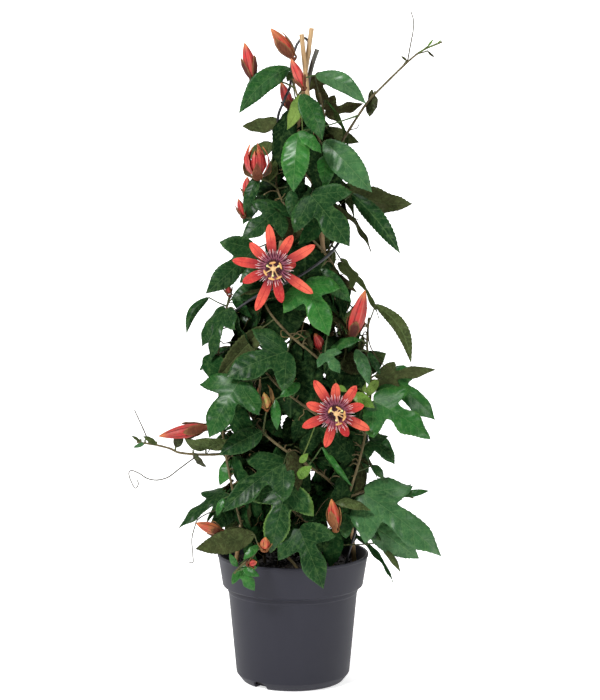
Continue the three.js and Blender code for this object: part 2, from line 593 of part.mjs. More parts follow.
// The soil fills the pot up to a slightly domed, lumpy top, with a hole for each thing that stands in it.
function soilSolid(holes) {
  const collarFoot = POT_HEIGHT - POT_COLLAR_HEIGHT;
  const collarSlope = (POT_RIM_RADIUS - POT_COLLAR_FOOT_RADIUS) / POT_COLLAR_HEIGHT;
  const edge = POT_COLLAR_FOOT_RADIUS - POT_WALL + collarSlope * (SOIL_TOP - collarFoot - POT_WALL) - GAP;
  const profile = [
    [0, POT_FLOOR + GAP], [POT_BASE_RADIUS - 1.2 * GAP, POT_FLOOR + GAP],
    [POT_BODY_TOP_RADIUS - POT_WALL - 1.2 * GAP, collarFoot],
    [POT_COLLAR_FOOT_RADIUS - POT_WALL - 1.5 * GAP, collarFoot + POT_WALL + GAP],
    [edge - GAP, SOIL_TOP], [edge * 0.7, SOIL_TOP + 0.3], [edge * 0.35, SOIL_TOP + SOIL_RISE],
    [0, SOIL_TOP + SOIL_RISE],
  ];
  const geometry = new THREE.LatheGeometry(profile.map(([r, z]) => new THREE.Vector2(r, z)), POT_SEGMENTS);
  geometry.rotateX(Math.PI / 2);
  geometry.deleteAttribute("normal");
  geometry.deleteAttribute("uv");
  const merged = mergeVertices(geometry, 1e-3);
  const draw = seededDraw(SEED);
  const position = merged.attributes.position;
  for (let i = 0; i < position.count; i++)
    if (position.getZ(i) > SOIL_TOP + 0.1) position.setZ(i, position.getZ(i) + SOIL_LUMP * (draw() - 0.5));
  return holes.reduce((soil, hole) => soil.subtract(hole.translate([0, 0, -GAP])), solidOf(merged));
}

// ---------------------------------------------------------------- canes and wire

function caneProfile(length) {
  const profile = [[0, 0], [CANE_RADIUS, 0]];
  for (let z = CANE_NODE_SPACING * 0.6; z < length - 20; z += CANE_NODE_SPACING) {
    profile.push([CANE_RADIUS, z - 2], [CANE_RADIUS + CANE_NODE_SWELL, z], [CANE_RADIUS, z + 2]);
  }
  profile.push([CANE_RADIUS, length], [0, length]);
  return profile;
}

function addCane({ name, foot, head, colour }) {
  const line = new THREE.Vector3().subVectors(vec(head), vec(foot));
  const length = line.length();
  const local = lathe(caneProfile(length), CANE_SIDES);
  const group = new THREE.Group();
  group.position.copy(vec(foot));
  group.quaternion.setFromUnitVectors(UP, line.clone().normalize());
  addMesh(group, name, local, colour, 0.6);
  plant.add(group);
  group.updateMatrixWorld(true);
  stand(name, moved(local, group.matrixWorld));
  const straight = new THREE.LineCurve3(vec(foot), vec(head));
  return tube(straight, CANE_RADIUS + 4 * GAP, 6, 1);
}

function wireCurve() {
  const turns = WIRE_TURNS.map(([angle, distance, height]) => [
    axisX(height) + distance * Math.cos(radians(angle)), distance * Math.sin(radians(angle)), height,
  ]);
  return curveThrough([...turns, ...WIRE_LOOP]);
}

// ---------------------------------------------------------------- stems

// Route of a winding stem: straight down in the soil, then round the axis at the shared pitch.
function windingRoute({ frontHeight, top }) {
  const points = [];
  const count = Math.round((top - SOIL_TOP) / STEM_RISE);
  const at = (height, turnHeight) => {
    const angle = radians(-90 - (360 * (turnHeight - frontHeight)) / STEM_PITCH);
    const distance = along(STEM_DISTANCES, turnHeight);
    points.push([
      axisX(turnHeight) + distance * Math.cos(angle), distance * Math.sin(angle), height,
    ]);
  };
  at(SOIL_TOP - ROOT_DEPTH, SOIL_TOP);
  for (let i = 0; i <= count; i++) {
    const height = SOIL_TOP + ((top - SOIL_TOP) * i) / count;
    at(height, height);
  }
  return points;
}

// The solids of each vine, fused at the end.
const pieces = { 1: [], 2: [], 3: [], 4: [], 5: [], 6: [] };

// Stems, each with its vine, its curve and the points along it that stalks may spring from.
const stems = [];

function addStem(vine, route, radius, steps) {
  const points = route.map((point) => [...point]);
  if (radius === SHOOT_RADIUS) points[0] = nearestOnVine(vine, vec(points[0])).toArray();
  const curve = curveThrough(points);
  const solid = tube(curve, radius, STEM_SIDES, steps);
  const joints = curve.getSpacedPoints(steps);
  const spots = joints.slice(1).flatMap((joint, i) => range(SPOTS_A_STEP).map((k) =>
    joints[i].clone().lerp(joint, k / SPOTS_A_STEP))).filter((p) => p.z > SOIL_TOP + 4);
  stems.push({ vine, curve, radius, spots, steps });
  stand(vine, solid);
  pieces[vine].push(solid);
}

function nearestOnVine(vine, point) {
  const spots = stems.filter((stem) => stem.vine === vine).flatMap((stem) => stem.spots);
  return spots.reduce((best, spot) => (spot.distanceTo(point) < best.distanceTo(point) ? spot : best));
}

// Where a stalk to a point may start, nearest first: on every stem, at its nearest spot and a little
// below and above it.
function stalkStarts(point) {
  const starts = [];
  for (const stem of stems) {
    const costs = stem.spots.map((spot) => Math.abs(spot.distanceTo(point) - STALK_LEAST)
      + (spot.z > point.z ? STALK_ABOVE_COST : 0));
    const nearest = costs.indexOf(Math.min(...costs));
    for (const shift of STALK_SHIFTS) {
      const spot = stem.spots[nearest + shift];
      if (!spot) continue;
      const cost = spot.distanceTo(point) + Math.abs(shift) * STALK_SHIFT_COST;
      starts.push({ vine: stem.vine, spot, cost });
    }
  }
  return starts.sort((p, q) => p.cost - q.cost).slice(0, STALK_CHOICES);
}

// The curve of a flower's or bud's stalk, which rises a little on its way.
function stalkCurve(start, end) {
  const middle = start.clone().lerp(end, 0.5);
  middle.z += STALK_RISE * start.distanceTo(end);
  return new THREE.QuadraticBezierCurve3(start, middle, end);
}

// What stands in a vine's way: all but its own stems and blades.
const foreignTo = (vine) => (owner) => owner !== vine && owner !== vine + " blade";
// What stands in every vine's way.
const offVines = (owner) => typeof owner === "string" && !owner.endsWith(" blade");

// A stalk from the first start that leaves it, and what it carries, clear of the other nodes.
function growStalk(end, carried) {
  for (const { vine, spot } of stalkStarts(end)) {
    const curve = stalkCurve(spot, end);
    if (meets(tube(curve, STALK_RADIUS + CLEARANCE, 4, STALK_STEPS), foreignTo(vine))) continue;
    if (!meets(carried, foreignTo(vine))) return { vine, solid: tube(curve, STALK_RADIUS, 3, STALK_STEPS) };
  }
  return null;
}

// ---------------------------------------------------------------- buds

// Half width of a closed bud at a share of its length.
const budSwell = (share) => Math.sin(Math.PI * share ** BUD_FULLNESS) ** 0.8;

// Direction away from an axis at an angle round it.
const radialAt = (angle) => new THREE.Vector3(Math.cos(angle), Math.sin(angle), 0);

// Radii and heights of a closed bud's rings, and its tip.
function budProfile(length, width) {
  const rings = BUD_RINGS[length > SMALL_BUD ? "large" : "small"];
  return [...rings.map((share, i) => [(width / 2) * budSwell(share), i ? length * share : 0]), [0, length]];
}

function closedBud(length, width) {
  return lathe([[0, 0], ...budProfile(length, width)], length > SMALL_BUD ? 8 : 5);
}

// A bud that has begun to part: pointed petals standing in a ring round a small closed heart.
function openingBud(length, width) {
  const heart = closedBud(SMALL_BUD, width * HEART_SHARE);
  const cup = lathe([[0, 0], [width * 0.2, 0], [0, 4]], 5);
  const petals = range(OPENING_PETALS).map((i) => {
    const radial = radialAt((2 * Math.PI * i) / OPENING_PETALS);
    const height = length * OPENING_HEIGHTS[i % 2];
    const spread = width * OPENING_SPREADS[i % 3];
    return blade({
      kind: "bract", base: radial.clone().multiplyScalar(width * 0.15).setZ(1.2),
      tip: radial.clone().multiplyScalar(spread).setZ(height), facing: radial, wide: OPENING_WIDTH,
    }, PETAL_THICKNESS);
  });
  return join([heart, cup, ...petals]);
}

// A bract that lies against a closed bud: rows of three points at the bud's rings, then its tip.
function closeBract(profile, reach, angle, halfAngle) {
  const rings = profile.slice(1, -1).map(([, z]) => z).filter((z) => z < 0.92 * reach);
  const heights = [BRACT_START, ...rings, reach];
  const radii = profile.map(([r, z]) => [z, r]);
  const positions = [];
  const rows = heights.map((z) => {
    const half = halfAngle * along(BRACT_TAPER, (z - BRACT_START) / (reach - BRACT_START));
    const radius = (along(radii, z) + BRACT_SPACE) / Math.cos(half / 2);
    return (half > 0 ? [-1, 0, 1] : [0]).map((side) => {
      for (const r of [radius + BLADE_THICKNESS, radius])
        positions.push(...radialAt(angle + side * half).multiplyScalar(r).setZ(z).toArray());
      return positions.length / 6 - 1;
    });
  });
  const faces = [];
  const both = (p, q, r) => faces.push(2 * p, 2 * q, 2 * r, 2 * p + 1, 2 * r + 1, 2 * q + 1);
  rows.slice(1).forEach((upper, i) => {
    const lower = rows[i];
    for (const k of [0, 1]) {
      both(lower[k], lower[k + 1], upper[k] ?? upper[0]);
      if (upper.length > 1) both(lower[k + 1], upper[k + 1], upper[k]);
    }
  });
  const loop = [...rows[0], ...rows.slice(1, -1).map((row) => row[2]), rows.at(-1)[0],
    ...rows.slice(1, -1).map((row) => row[0]).reverse()];
  loop.forEach((p, i) => {
    const q = loop[(i + 1) % loop.length];
    faces.push(2 * q, 2 * p, 2 * p + 1, 2 * q, 2 * p + 1, 2 * q + 1);
  });
  const geometry = new THREE.BufferGeometry();
  geometry.setAttribute("position", new THREE.BufferAttribute(new Float32Array(positions), 3));
  geometry.setIndex(faces);
  return solidOf(geometry);
}

// A bract of an open bud, or one longer than its bud: it leans out until it is clear of it.
function leaningBract(radial, reach, width, cupRadius, spread, bud) {
  for (let lean = 0; lean < 3 * width; lean += BRACT_LEAN) {
    const bract = {
      kind: "bract", base: radial.clone().multiplyScalar(cupRadius * 0.75).setZ(BRACT_START),
      tip: radial.clone().multiplyScalar(spread + lean).setZ(reach), facing: radial,
      wide: Math.min(1.1, (width * 1.5) / reach),
    };
    if (!blade(bract, BLADE_THICKNESS, 1.4 * GAP).intersect(bud).isEmpty()) continue;
    return blade(bract, BLADE_THICKNESS);
  }
  throw new Error("a bract can't be bent clear of its bud");
}

// The cup and bracts that hold a bud, in the bud's frame.
function budHolder(length, width, share, bud, opening) {
  const profile = budProfile(length, width);
  const cupRadius = opening ? width * 0.2 + 0.6 : profile[0][0] + HOLDER_RIM;
  const cup = lathe([[0, -HOLDER_DEPTH], [cupRadius, -GAP - 0.9], [cupRadius, -GAP], [0, -GAP]], 6);
  const count = length > SMALL_BUD ? 3 : 2;
  const reach = length * share;
  const bracts = range(count).map((i) => {
    const angle = (2 * Math.PI * (i + 0.25)) / count;
    if (!opening && share < 1) return closeBract(profile, reach, angle, radians(BRACT_ANGLES[count]));
    return leaningBract(radialAt(angle), reach, width, cupRadius, width * (opening ? 0.36 : 0.7), bud);
  });
  return join([cup, ...bracts]);
}

function addBud({ base, tip, width, bracts, opening }, index) {
  const name = "bud_" + String(index + 1).padStart(2, "0");
  const line = new THREE.Vector3().subVectors(vec(tip), vec(base));
  const length = line.length();
  const local = opening ? openingBud(length, width) : closedBud(length, width);
  const matrix = frameAlong(vec(base), line);
  const group = new THREE.Group();
  group.applyMatrix4(matrix);
  addMesh(group, name, local, COLOURS.bud, 0.5);
  plant.add(group);
  const holder = moved(budHolder(length, width, bracts, local, opening), matrix);
  stand(name, moved(local, matrix));
  return { holder, foot: vec(base).addScaledVector(line.normalize(), -HOLDER_DEPTH / 2), name };
}

// ---------------------------------------------------------------- open flowers

function bloomPetals({ petals }, reflexed) {
  const cup = lathe([[0, -BLOOM_CUP_DEPTH], [2, -BLOOM_CUP_DEPTH], [BLOOM_CUP_RADIUS, -0.7],
    [BLOOM_CUP_RADIUS, BLOOM_CUP_TOP], [0, BLOOM_CUP_TOP]], 8);
  const blades = petals.map(([degrees, length], i) => {
    const radial = radialAt(radians(degrees));
    const base = radial.clone().multiplyScalar(BLOOM_CUP_RADIUS - 2.2).setZ(PETAL_LAYERS[i % 2]);
    const bent = i === reflexed;
    const tipHeight = bent ? -0.7 * length : -1 - 2 * (i % 3);
    const tip = radial.clone().multiplyScalar(bent ? length * 0.6 : length).setZ(tipHeight);
    return blade({ kind: "petal", base, tip, facing: UP, wide: PETAL_WIDTH / (length * 0.22) },
      PETAL_THICKNESS);
  });
  return join([cup, ...blades]);
}

function bloomCorona() {
  const low = BLOOM_CUP_TOP + GAP;
  const ring = lathe([[CORONA_HOLE_RADIUS, low], [CORONA_RING_RADIUS, low], [CORONA_RING_RADIUS, low + 1.6],
    [CORONA_HOLE_RADIUS, low + 2.2], [CORONA_HOLE_RADIUS, low]], 12);
  const filaments = range(CORONA_FILAMENTS).map((i) => {
    const radial = radialAt((2 * Math.PI * i) / CORONA_FILAMENTS);
    const [reach, rise] = FILAMENT_ENDS[i % 2];
    const root = radial.clone().multiplyScalar(CORONA_RING_RADIUS - 1.2).setZ(low + 1);
    const end = radial.clone().multiplyScalar(CORONA_RADIUS * reach).setZ(low + rise);
    return tube(new THREE.LineCurve3(root, end), FILAMENT_RADIUS, 3, 1);
  });
  return join([ring, ...filaments]);
}

// The column with its stamens, each an anther across the end of a filament, and its three styles.
function bloomColumn({ stamens }) {
  const low = BLOOM_CUP_TOP + GAP;
  const top = low + COLUMN_HEIGHT;
  const stalk = lathe([[0, low], [2.5, low], [COLUMN_RADIUS, low + 2], [COLUMN_RADIUS, top],
    [OVARY_RADIUS, top + 1.6], [OVARY_RADIUS * 0.8, top + 3.8], [0, top + 4.8]], 6);
  const rod = (angle, [from, fromHeight], [to, toHeight], radius) => tube(new THREE.LineCurve3(
    radialAt(angle).multiplyScalar(from).setZ(top + fromHeight),
    radialAt(angle).multiplyScalar(to).setZ(top + toHeight),
  ), radius, 3, 1);
  const reachOf = (degrees) => STAMEN_REACH * (1 - STAMEN_HANG * Math.sin(radians(degrees)));
  const filaments = stamens.map((degrees) => rod(radians(degrees), [0, -1], [reachOf(degrees), -1.4], 0.6));
  const anthers = stamens.map((degrees) => solidOf(new THREE.OctahedronGeometry(1).scale(...ANTHER_HALVES)
    .rotateZ(radians(degrees)).translate(
      ...radialAt(radians(degrees)).multiplyScalar(reachOf(degrees) + 0.2).setZ(top - 1.4).toArray())));
  const styles = range(STYLES).map((i) => rod((2 * Math.PI * i) / STYLES + 0.5, [0.4, 3], [7, 4.6], 0.75));
  return join([stalk, ...filaments, ...anthers, ...styles]);
}

function addBloom(bloom) {
  const matrix = frameAlong(vec(bloom.centre), vec(bloom.faces));
  const group = new THREE.Group();
  group.applyMatrix4(matrix);
  const parts = [
    ["petals", bloomPetals(bloom, REFLEXED[bloom.name]), COLOURS.petal],
    ["corona", bloomCorona(), COLOURS.corona],
    ["column", bloomColumn(bloom), COLOURS.column],
  ];
  for (const [part, solid, colour] of parts) {
    addMesh(group, bloom.name + "_" + part, solid, colour, 0.55);
    stand(bloom.name, moved(solid, matrix));
  }
  plant.add(group);
  // The stalk widens into a receptacle just under the flower.
  const low = -BLOOM_CUP_DEPTH - GAP;
  const receptacle = moved(lathe([[0, low - 3], [STALK_RADIUS, low - 3], [2, low - 1], [2, low],
    [0, low]], 6), matrix);
  const foot = vec(bloom.centre).addScaledVector(vec(bloom.faces).normalize(), low - 1.2);
  return { holder: receptacle, foot, name: bloom.name };
}

// A flower's or bud's stalk and what holds it, fused to the vine that the stalk springs from.
function attach({ holder, foot, name }) {
  const stalk = growStalk(foot, holder);
  if (!stalk) throw new Error("no stalk reaches " + name + " clear of other pieces");
  pieces[stalk.vine].push(stalk.solid, holder);
  stand(stalk.vine, stalk.solid);
  stand(stalk.vine, holder);
}

// ---------------------------------------------------------------- leaves

// Ways that a leaf is bent to clear its neighbours, the least first: moved in depth, its tip swung, and
// turned about its midrib.
const BENDS = [0, 14, -14, 28].flatMap((roll) => [0, -8, 8, -16, 16].flatMap((swing) =>
  [0, -6, 6, -12, 12, -18, 18, -24].map((depth) => ({ roll, swing, depth }))));
const effort = ({ roll, swing, depth }) => Math.abs(roll) * 0.7 + Math.abs(swing) + Math.abs(depth);
BENDS.sort((p, q) => effort(p) - effort(q));

// Grows a leaf with the least bend that leaves it clear of all else, or of all but its own vine.
function growLeaf(leaf, bends = BENDS) {
  for (const crossing of [false, true]) {
    for (const { roll, swing, depth } of bends) {
      const bent = {
        ...leaf, roll: leaf.roll + roll,
        base: leaf.base.clone().addScaledVector(leaf.out, -depth),
        tip: leaf.tip.clone().addScaledVector(leaf.out, -depth - swing),
      };
      const fat = blade(bent, BLADE_THICKNESS, CLEARANCE);
      if (meets(fat, crossing ? offVines : () => true)) continue;
      const start = stalkStarts(bent.base).find(({ vine, spot }) => {
        const stalk = tube(new THREE.LineCurve3(spot, bent.base), STALK_RADIUS + CLEARANCE, 3, 1);
        if (!crossing) return !meets(stalk, (owner) => owner !== vine);
        return !meets(fat, foreignTo(vine)) && !meets(stalk, foreignTo(vine));
      });
      if (!start) continue;
      const solid = blade({ ...bent, stalkFrom: start.spot }, BLADE_THICKNESS);
      pieces[start.vine].push(solid);
      stand(start.vine + " blade", solid);
      return true;
    }
  }
  return false;
}

function frontLeaf([kind, bx, by, bz, tx, ty, tz, wide, roll, side]) {
  const lookX = THREE.MathUtils.clamp(bx * FRONT_FAN, -0.5, 0.5);
  const facing = new THREE.Vector3(lookX, -1, FRONT_LOOK_UP).multiplyScalar(side);
  const base = vec([bx, by, bz]);
  const tip = vec([tx, ty, tz]);
  const shape = kind === "simple" && base.distanceTo(tip) < SMALL_LEAF ? "small" : kind;
  return { kind: shape, base, tip, wide, roll, facing, out: FORWARD };
}

// A leaf of the back, the sides or the inside, hanging outwards from the stems.
function ruleLeaf(index, draw) {
  const height = RULE_LOW + ((RULE_HIGH - RULE_LOW) * (index + draw())) / RULE_LEAVES;
  const angle = (index * GOLDEN_ANGLE) % 360;
  const fromFront = Math.abs(((angle + 90 + 180) % 360) - 180);
  const rule = fromFront < FRONT_SECTOR ? INNER_LEAF : OUTER_LEAF;
  const radial = radialAt(radians(angle));
  const length = rule.length + LENGTH_SPREAD * draw();
  const from = along(LEAF_DISTANCES, height) * rule.from;
  const room = along(LEAF_REACHES, height) - from;
  const reach = Math.min(length * REACH_SHARE, room) * rule.reach;
  const drop = Math.sqrt(length ** 2 - reach ** 2) * (draw() < HANGING_SHARE ? 1 : -0.5);
  const base = radial.clone().multiplyScalar(from).setZ(height);
  base.x += axisX(height);
  const tip = base.clone().addScaledVector(radial, reach);
  tip.z -= drop;
  tip.addScaledVector(new THREE.Vector3(-radial.y, radial.x, 0), (draw() - 0.5) * TIP_SWING);
  const kind = draw() < rule.threefold ? "threefold" : "small";
  const narrowing = Math.min(1, along(LEAF_DISTANCES, height) / FULL_WIDTH_DISTANCE);
  const wide = rule.wide * narrowing + WIDTH_SPREAD * draw();
  const roll = ROLL_SPREAD * (draw() - 0.5);
  return { kind, base, tip, wide, roll, facing: radial.clone().setZ(0.6), out: radial };
}

// ---------------------------------------------------------------- the plant put together

const pot = potSolid();
const holes = CANES.map(addCane);

const oldCane = curveThrough(OLD_CANE);
const oldCaneSolid = tube(oldCane, CANE_RADIUS, CANE_SIDES, 10);
addMesh(plant, "cane_3", oldCaneSolid, COLOURS.oldBamboo, 0.8);
stand("cane_3", oldCaneSolid);
holes.push(tube(oldCane, CANE_RADIUS + 1.6 * GAP, CANE_SIDES, 10));

const wire = wireCurve();
const wireSolid = tube(wire, WIRE_RADIUS, WIRE_SIDES, WIRE_STEPS);
addMesh(plant, "wire_spiral", wireSolid, COLOURS.wireCoating, 0.45);
stand("wire_spiral", wireSolid);
holes.push(tube(wire, WIRE_RADIUS + 1.4 * GAP, WIRE_SIDES, WIRE_STEPS));

for (const stem of WINDING_STEMS) addStem(stem.vine, windingRoute(stem), STEM_RADIUS, STEM_STEPS);
for (const stem of OUTER_STEMS) addStem(stem.vine, stem.route, STEM_RADIUS, STEM_STEPS / 2);
for (const { curve, steps } of stems) holes.push(tube(curve, STEM_RADIUS + 2.4 * GAP, STEM_SIDES, steps));

stand("pot", pot);
addMesh(plant, "pot", pot, COLOURS.potPlastic, 0.5);
const soil = soilSolid(holes);
addMesh(plant, "soil", soil, COLOURS.compost, 0.95);
stand("soil", soil);

for (const { vine, route } of SHOOTS) addStem(vine, route, SHOOT_RADIUS, SHOOT_STEPS);

const held = [...BLOOMS.map(addBloom), ...BUDS.map(addBud)];
held.forEach(attach);

for (const { vine, route } of TENDRILS) {
  const points = [nearestOnVine(vine, vec(route[0])).toArray(), ...route.slice(1)];
  const solid = tube(curveThrough(points), TENDRIL_RADIUS, 3, Math.round(route.length * 1.3));
  pieces[vine].push(solid);
  stand(vine, solid);
}

FRONT_LEAVES.forEach((row, i) => {
  if (!growLeaf(frontLeaf(row))) throw new Error("front leaf " + i + " has no clear place");
});
const draw = seededDraw(SEED);
for (const index of range(RULE_LEAVES)) growLeaf(ruleLeaf(index, draw), BENDS.slice(0, RULE_BENDS));

for (const [vine, solids] of Object.entries(pieces))
  addMesh(plant, "vine_" + vine, join(solids), COLOURS.foliage, 0.5);

export default plant;
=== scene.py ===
"""A passion flower vine in its nursery pot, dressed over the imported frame.

The pot, soil, canes, wire and six vines with their leaves, flowers, buds and tendrils are each made by one
operator. Pieces are drawn in mm, like the part, and turned into metres when they are built; the stage is in
metres.
"""

from math import atan2, cos, dist, exp, hypot, pi, radians, sin, sqrt

import bpy
import numpy as np
from bpy.props import FloatProperty, FloatVectorProperty, PointerProperty
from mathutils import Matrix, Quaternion, Vector, kdtree


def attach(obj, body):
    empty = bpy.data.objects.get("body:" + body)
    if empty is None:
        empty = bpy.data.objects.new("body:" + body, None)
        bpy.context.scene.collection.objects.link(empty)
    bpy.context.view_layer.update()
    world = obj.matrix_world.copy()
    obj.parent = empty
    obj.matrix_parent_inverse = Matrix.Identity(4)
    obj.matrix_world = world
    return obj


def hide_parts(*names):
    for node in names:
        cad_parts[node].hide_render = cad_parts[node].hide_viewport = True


bl_info = {
    "name": "Passion Flower Vine",
    "version": (1, 0, 0),
    "blender": (4, 5, 0),
    "location": "View3D > Sidebar > Vine",
    "description": "Dresses a potted passion flower vine over its packed frame",
    "category": "Add Mesh",
}

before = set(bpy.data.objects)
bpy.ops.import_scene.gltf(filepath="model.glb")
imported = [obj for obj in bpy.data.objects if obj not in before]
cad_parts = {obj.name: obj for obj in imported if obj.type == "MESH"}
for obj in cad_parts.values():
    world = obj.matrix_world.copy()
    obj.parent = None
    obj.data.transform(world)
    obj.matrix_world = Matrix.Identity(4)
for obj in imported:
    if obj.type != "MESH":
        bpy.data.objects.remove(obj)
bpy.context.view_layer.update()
MM = 0.001
SEED = 7
VINES = range(1, 7)

# ---------------- pot and soil, in mm

POT_HEIGHT = 145
POT_RIM_RADIUS = 85
POT_COLLAR_HEIGHT = 36
POT_COLLAR_FOOT_RADIUS = 79
POT_BODY_TOP_RADIUS = 73
POT_BODY_FOOT_RADIUS = 64
POT_BASE_RADIUS = 57
POT_BASE_CHAMFER = 9
POT_WALL = 2.3
POT_FLOOR = 3
POT_ROUNDING = 1.1
POT_SEGMENTS = 128
DRAIN_NOTCHES = 3
DRAIN_NOTCH_WIDTH = 17
DRAIN_NOTCH_HEIGHT = 8
DRAIN_NOTCH_TURN = -128
SOIL_TOP = 131
SOIL_RISE = 3
SOIL_RINGS = 44
SOIL_SEGMENTS = 140
SOIL_LUMPS = 420
LUMP_SIZES = (2, 9)
LUMP_HEIGHTS = (-1.3, 1.6)
SOIL_CRUMBS = 1500
CRUMB_SIZES = (0.5, 1.9)
PERLITE_SHARE = 0.03
PERLITE_TONE = (9, 8, 7, 1)
GAP = 0.35

# ---------------- canes and wire, in mm

CANE_RADIUS = 2.6
CANE_NODE_SPACING = 150
CANE_NODE_SWELL = 0.5
CANE_STEPS = 160
# Name, foot and head of each straight cane.
CANES = (
    ("cane_1", (71.5, -8, 113), (9.7, -4, 722)),
    ("cane_2", (-66.9, -8, 113), (20.8, 3.7, 729)),
)
OLD_CANE = (
    (5, 66, 100), (6, 44, 300), (10, 27, 520), (15, 11, 650), (20, 8, 684), (27, 6, 706),
)
WIRE_RADIUS = 1.5
# Turn about the axis in degrees, distance from it and height.
WIRE_TURNS = (
    (-32, 64, 96), (-31, 66, 132), (-22, 73, 175), (-8, 78, 220), (15, 80, 283), (55, 80, 316),
    (95, 80, 347), (140, 79, 378), (180, 76, 407), (220, 71, 434), (270, 61, 462), (315, 52, 490),
    (360, 45, 517), (405, 41, 546), (450, 37, 575), (495, 33, 602), (540, 29, 630), (570, 26, 650),
)
WIRE_LOOP = (
    (-3, -9, 665), (-2, 0, 680), (-1, 9, 694), (2, 14, 705), (6, 15, 714), (12, 15, 719), (17, 14, 715),
    (19, 13, 705), (17, 13, 694),
)

# ---------------- stems, in mm

AXIS_FOOT_HEIGHT = 100
AXIS_LEAN = 14 / 584
ROOT_DEPTH = 36
STEM_RADIUS = 1.6
STEM_PITCH = 250
STEM_RISE = 27
STEM_STEPS = 22
SHOOT_RADIUS = 1.1
SHOOT_STEPS = 8
YOUNG_SHOOT_HEIGHT = 600
SPOTS_A_STEP = 4
STALK_RADIUS = 0.85
STALK_LEAST = 12
STALK_CHOICES = 10
STALK_RISE = 0.22
STALK_SHIFTS = (0, -7, 7, -14)
STALK_LOOK = 90
MOST_MISS = 2.0
TENDRIL_RADIUS = 0.5
LEAF_STALK_RADII = (1.25, 1.0, 0.85, 0.8, 0.78, 0.76, 0.76, 0.76, 0.78, 0.82, 0.85, 0.7, 0.4)
# Vine, the height at which its stem passes in front, and its top.
WINDING_STEMS = ((2, 324, 632), (3, 262, 636), (5, 387, 690), (6, 450, 658))
STEM_DISTANCES = (
    (95, 32), (140, 33), (185, 43), (245, 61), (300, 59), (400, 47), (500, 39), (600, 26), (660, 18),
    (700, 15),
)
# Vine and route of each other stem, shoot and tendril.
OUTER_STEMS = (
    (1, ((44, -28, 95), (44, -28, 132), (51, -46, 190), (62, -54, 222), (74, -52, 262), (82, -44, 300),
         (86, -34, 340), (82, -26, 380), (84, -16, 412))),
    (4, ((-42, -28, 95), (-42, -28, 132), (-56, -36, 180), (-66, -38, 222), (-74, -34, 262),
         (-80, -28, 310), (-82, -24, 360), (-80, -20, 400), (-70, -16, 432))),
)
SHOOTS = (
    (5, ((40, 6, 582), (50, -8, 598), (58, -12, 612), (81, -8, 647), (96, -5, 663), (126, 0, 692),
         (143, 2, 705), (164, 2, 714))),
    (4, ((-74, -34, 262), (-98, -36, 262), (-124, -36, 264), (-136, -36, 269), (-152, -36, 273),
         (-172, -36, 276))),
    (4, ((-44, -31, 140), (-40, -62, 160), (-36, -88, 172), (-44, -97, 160), (-55, -100, 152),
         (-63, -101, 143))),
    (1, ((60, -53, 217), (80, -40, 222), (102, -32, 222), (120, -28, 217), (134, -28, 212))),
)
TENDRILS = (
    (5, ((126, 0, 692), (129, 0, 710), (132, -1, 727), (132, -1, 738), (129, 0, 748))),
    (4, ((-158, -36, 275), (-163, -37, 287), (-169, -38, 301), (-174, -38, 312))),
    (4, ((-103, -36, 263), (-115, -38, 254), (-126, -40, 246), (-137, -42, 238), (-149, -44, 235),
         (-160, -45, 237), (-169, -46, 243), (-178, -46, 246), (-180, -46, 241), (-176, -46, 230),
         (-173, -45, 226), (-170, -44, 230), (-171, -44, 235))),
    (4, ((-62, -37, 205), (-88, -44, 200), (-104, -48, 192), (-108, -50, 183), (-111, -51, 170),
         (-110, -51, 152), (-110, -51, 144), (-115, -51, 145))),
    (1, ((84, -20, 400), (84, -32, 386), (90, -35, 373), (98, -36, 363), (108, -36, 357))),
    (5, ((54, -10, 606), (62, -14, 617), (70, -15, 620), (73, -15, 625))),
)

# ---------------- leaves, in mm

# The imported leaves' thickness, and that of the finer ones.
BLADE_THICKNESS = 0.8
FINE_THICKNESS = 0.6
SMALL_LEAF = 46
VEINS_A_SIDE = 6.5
VEIN_SLANT = 0.75
# How high each kind of blade is arched along its midrib, and how far its halves fold down.
BLADES = {
    "lobed": (0.07, 0.12),
    "threefold": (0.08, 0.12),
    "simple": (0.1, 0.15),
    "small": (0.1, 0.15),
    "folded": (0.12, 0.9),
    "petal": (0.03, -0.1),
    "bract": (0.24, 0.08),
}
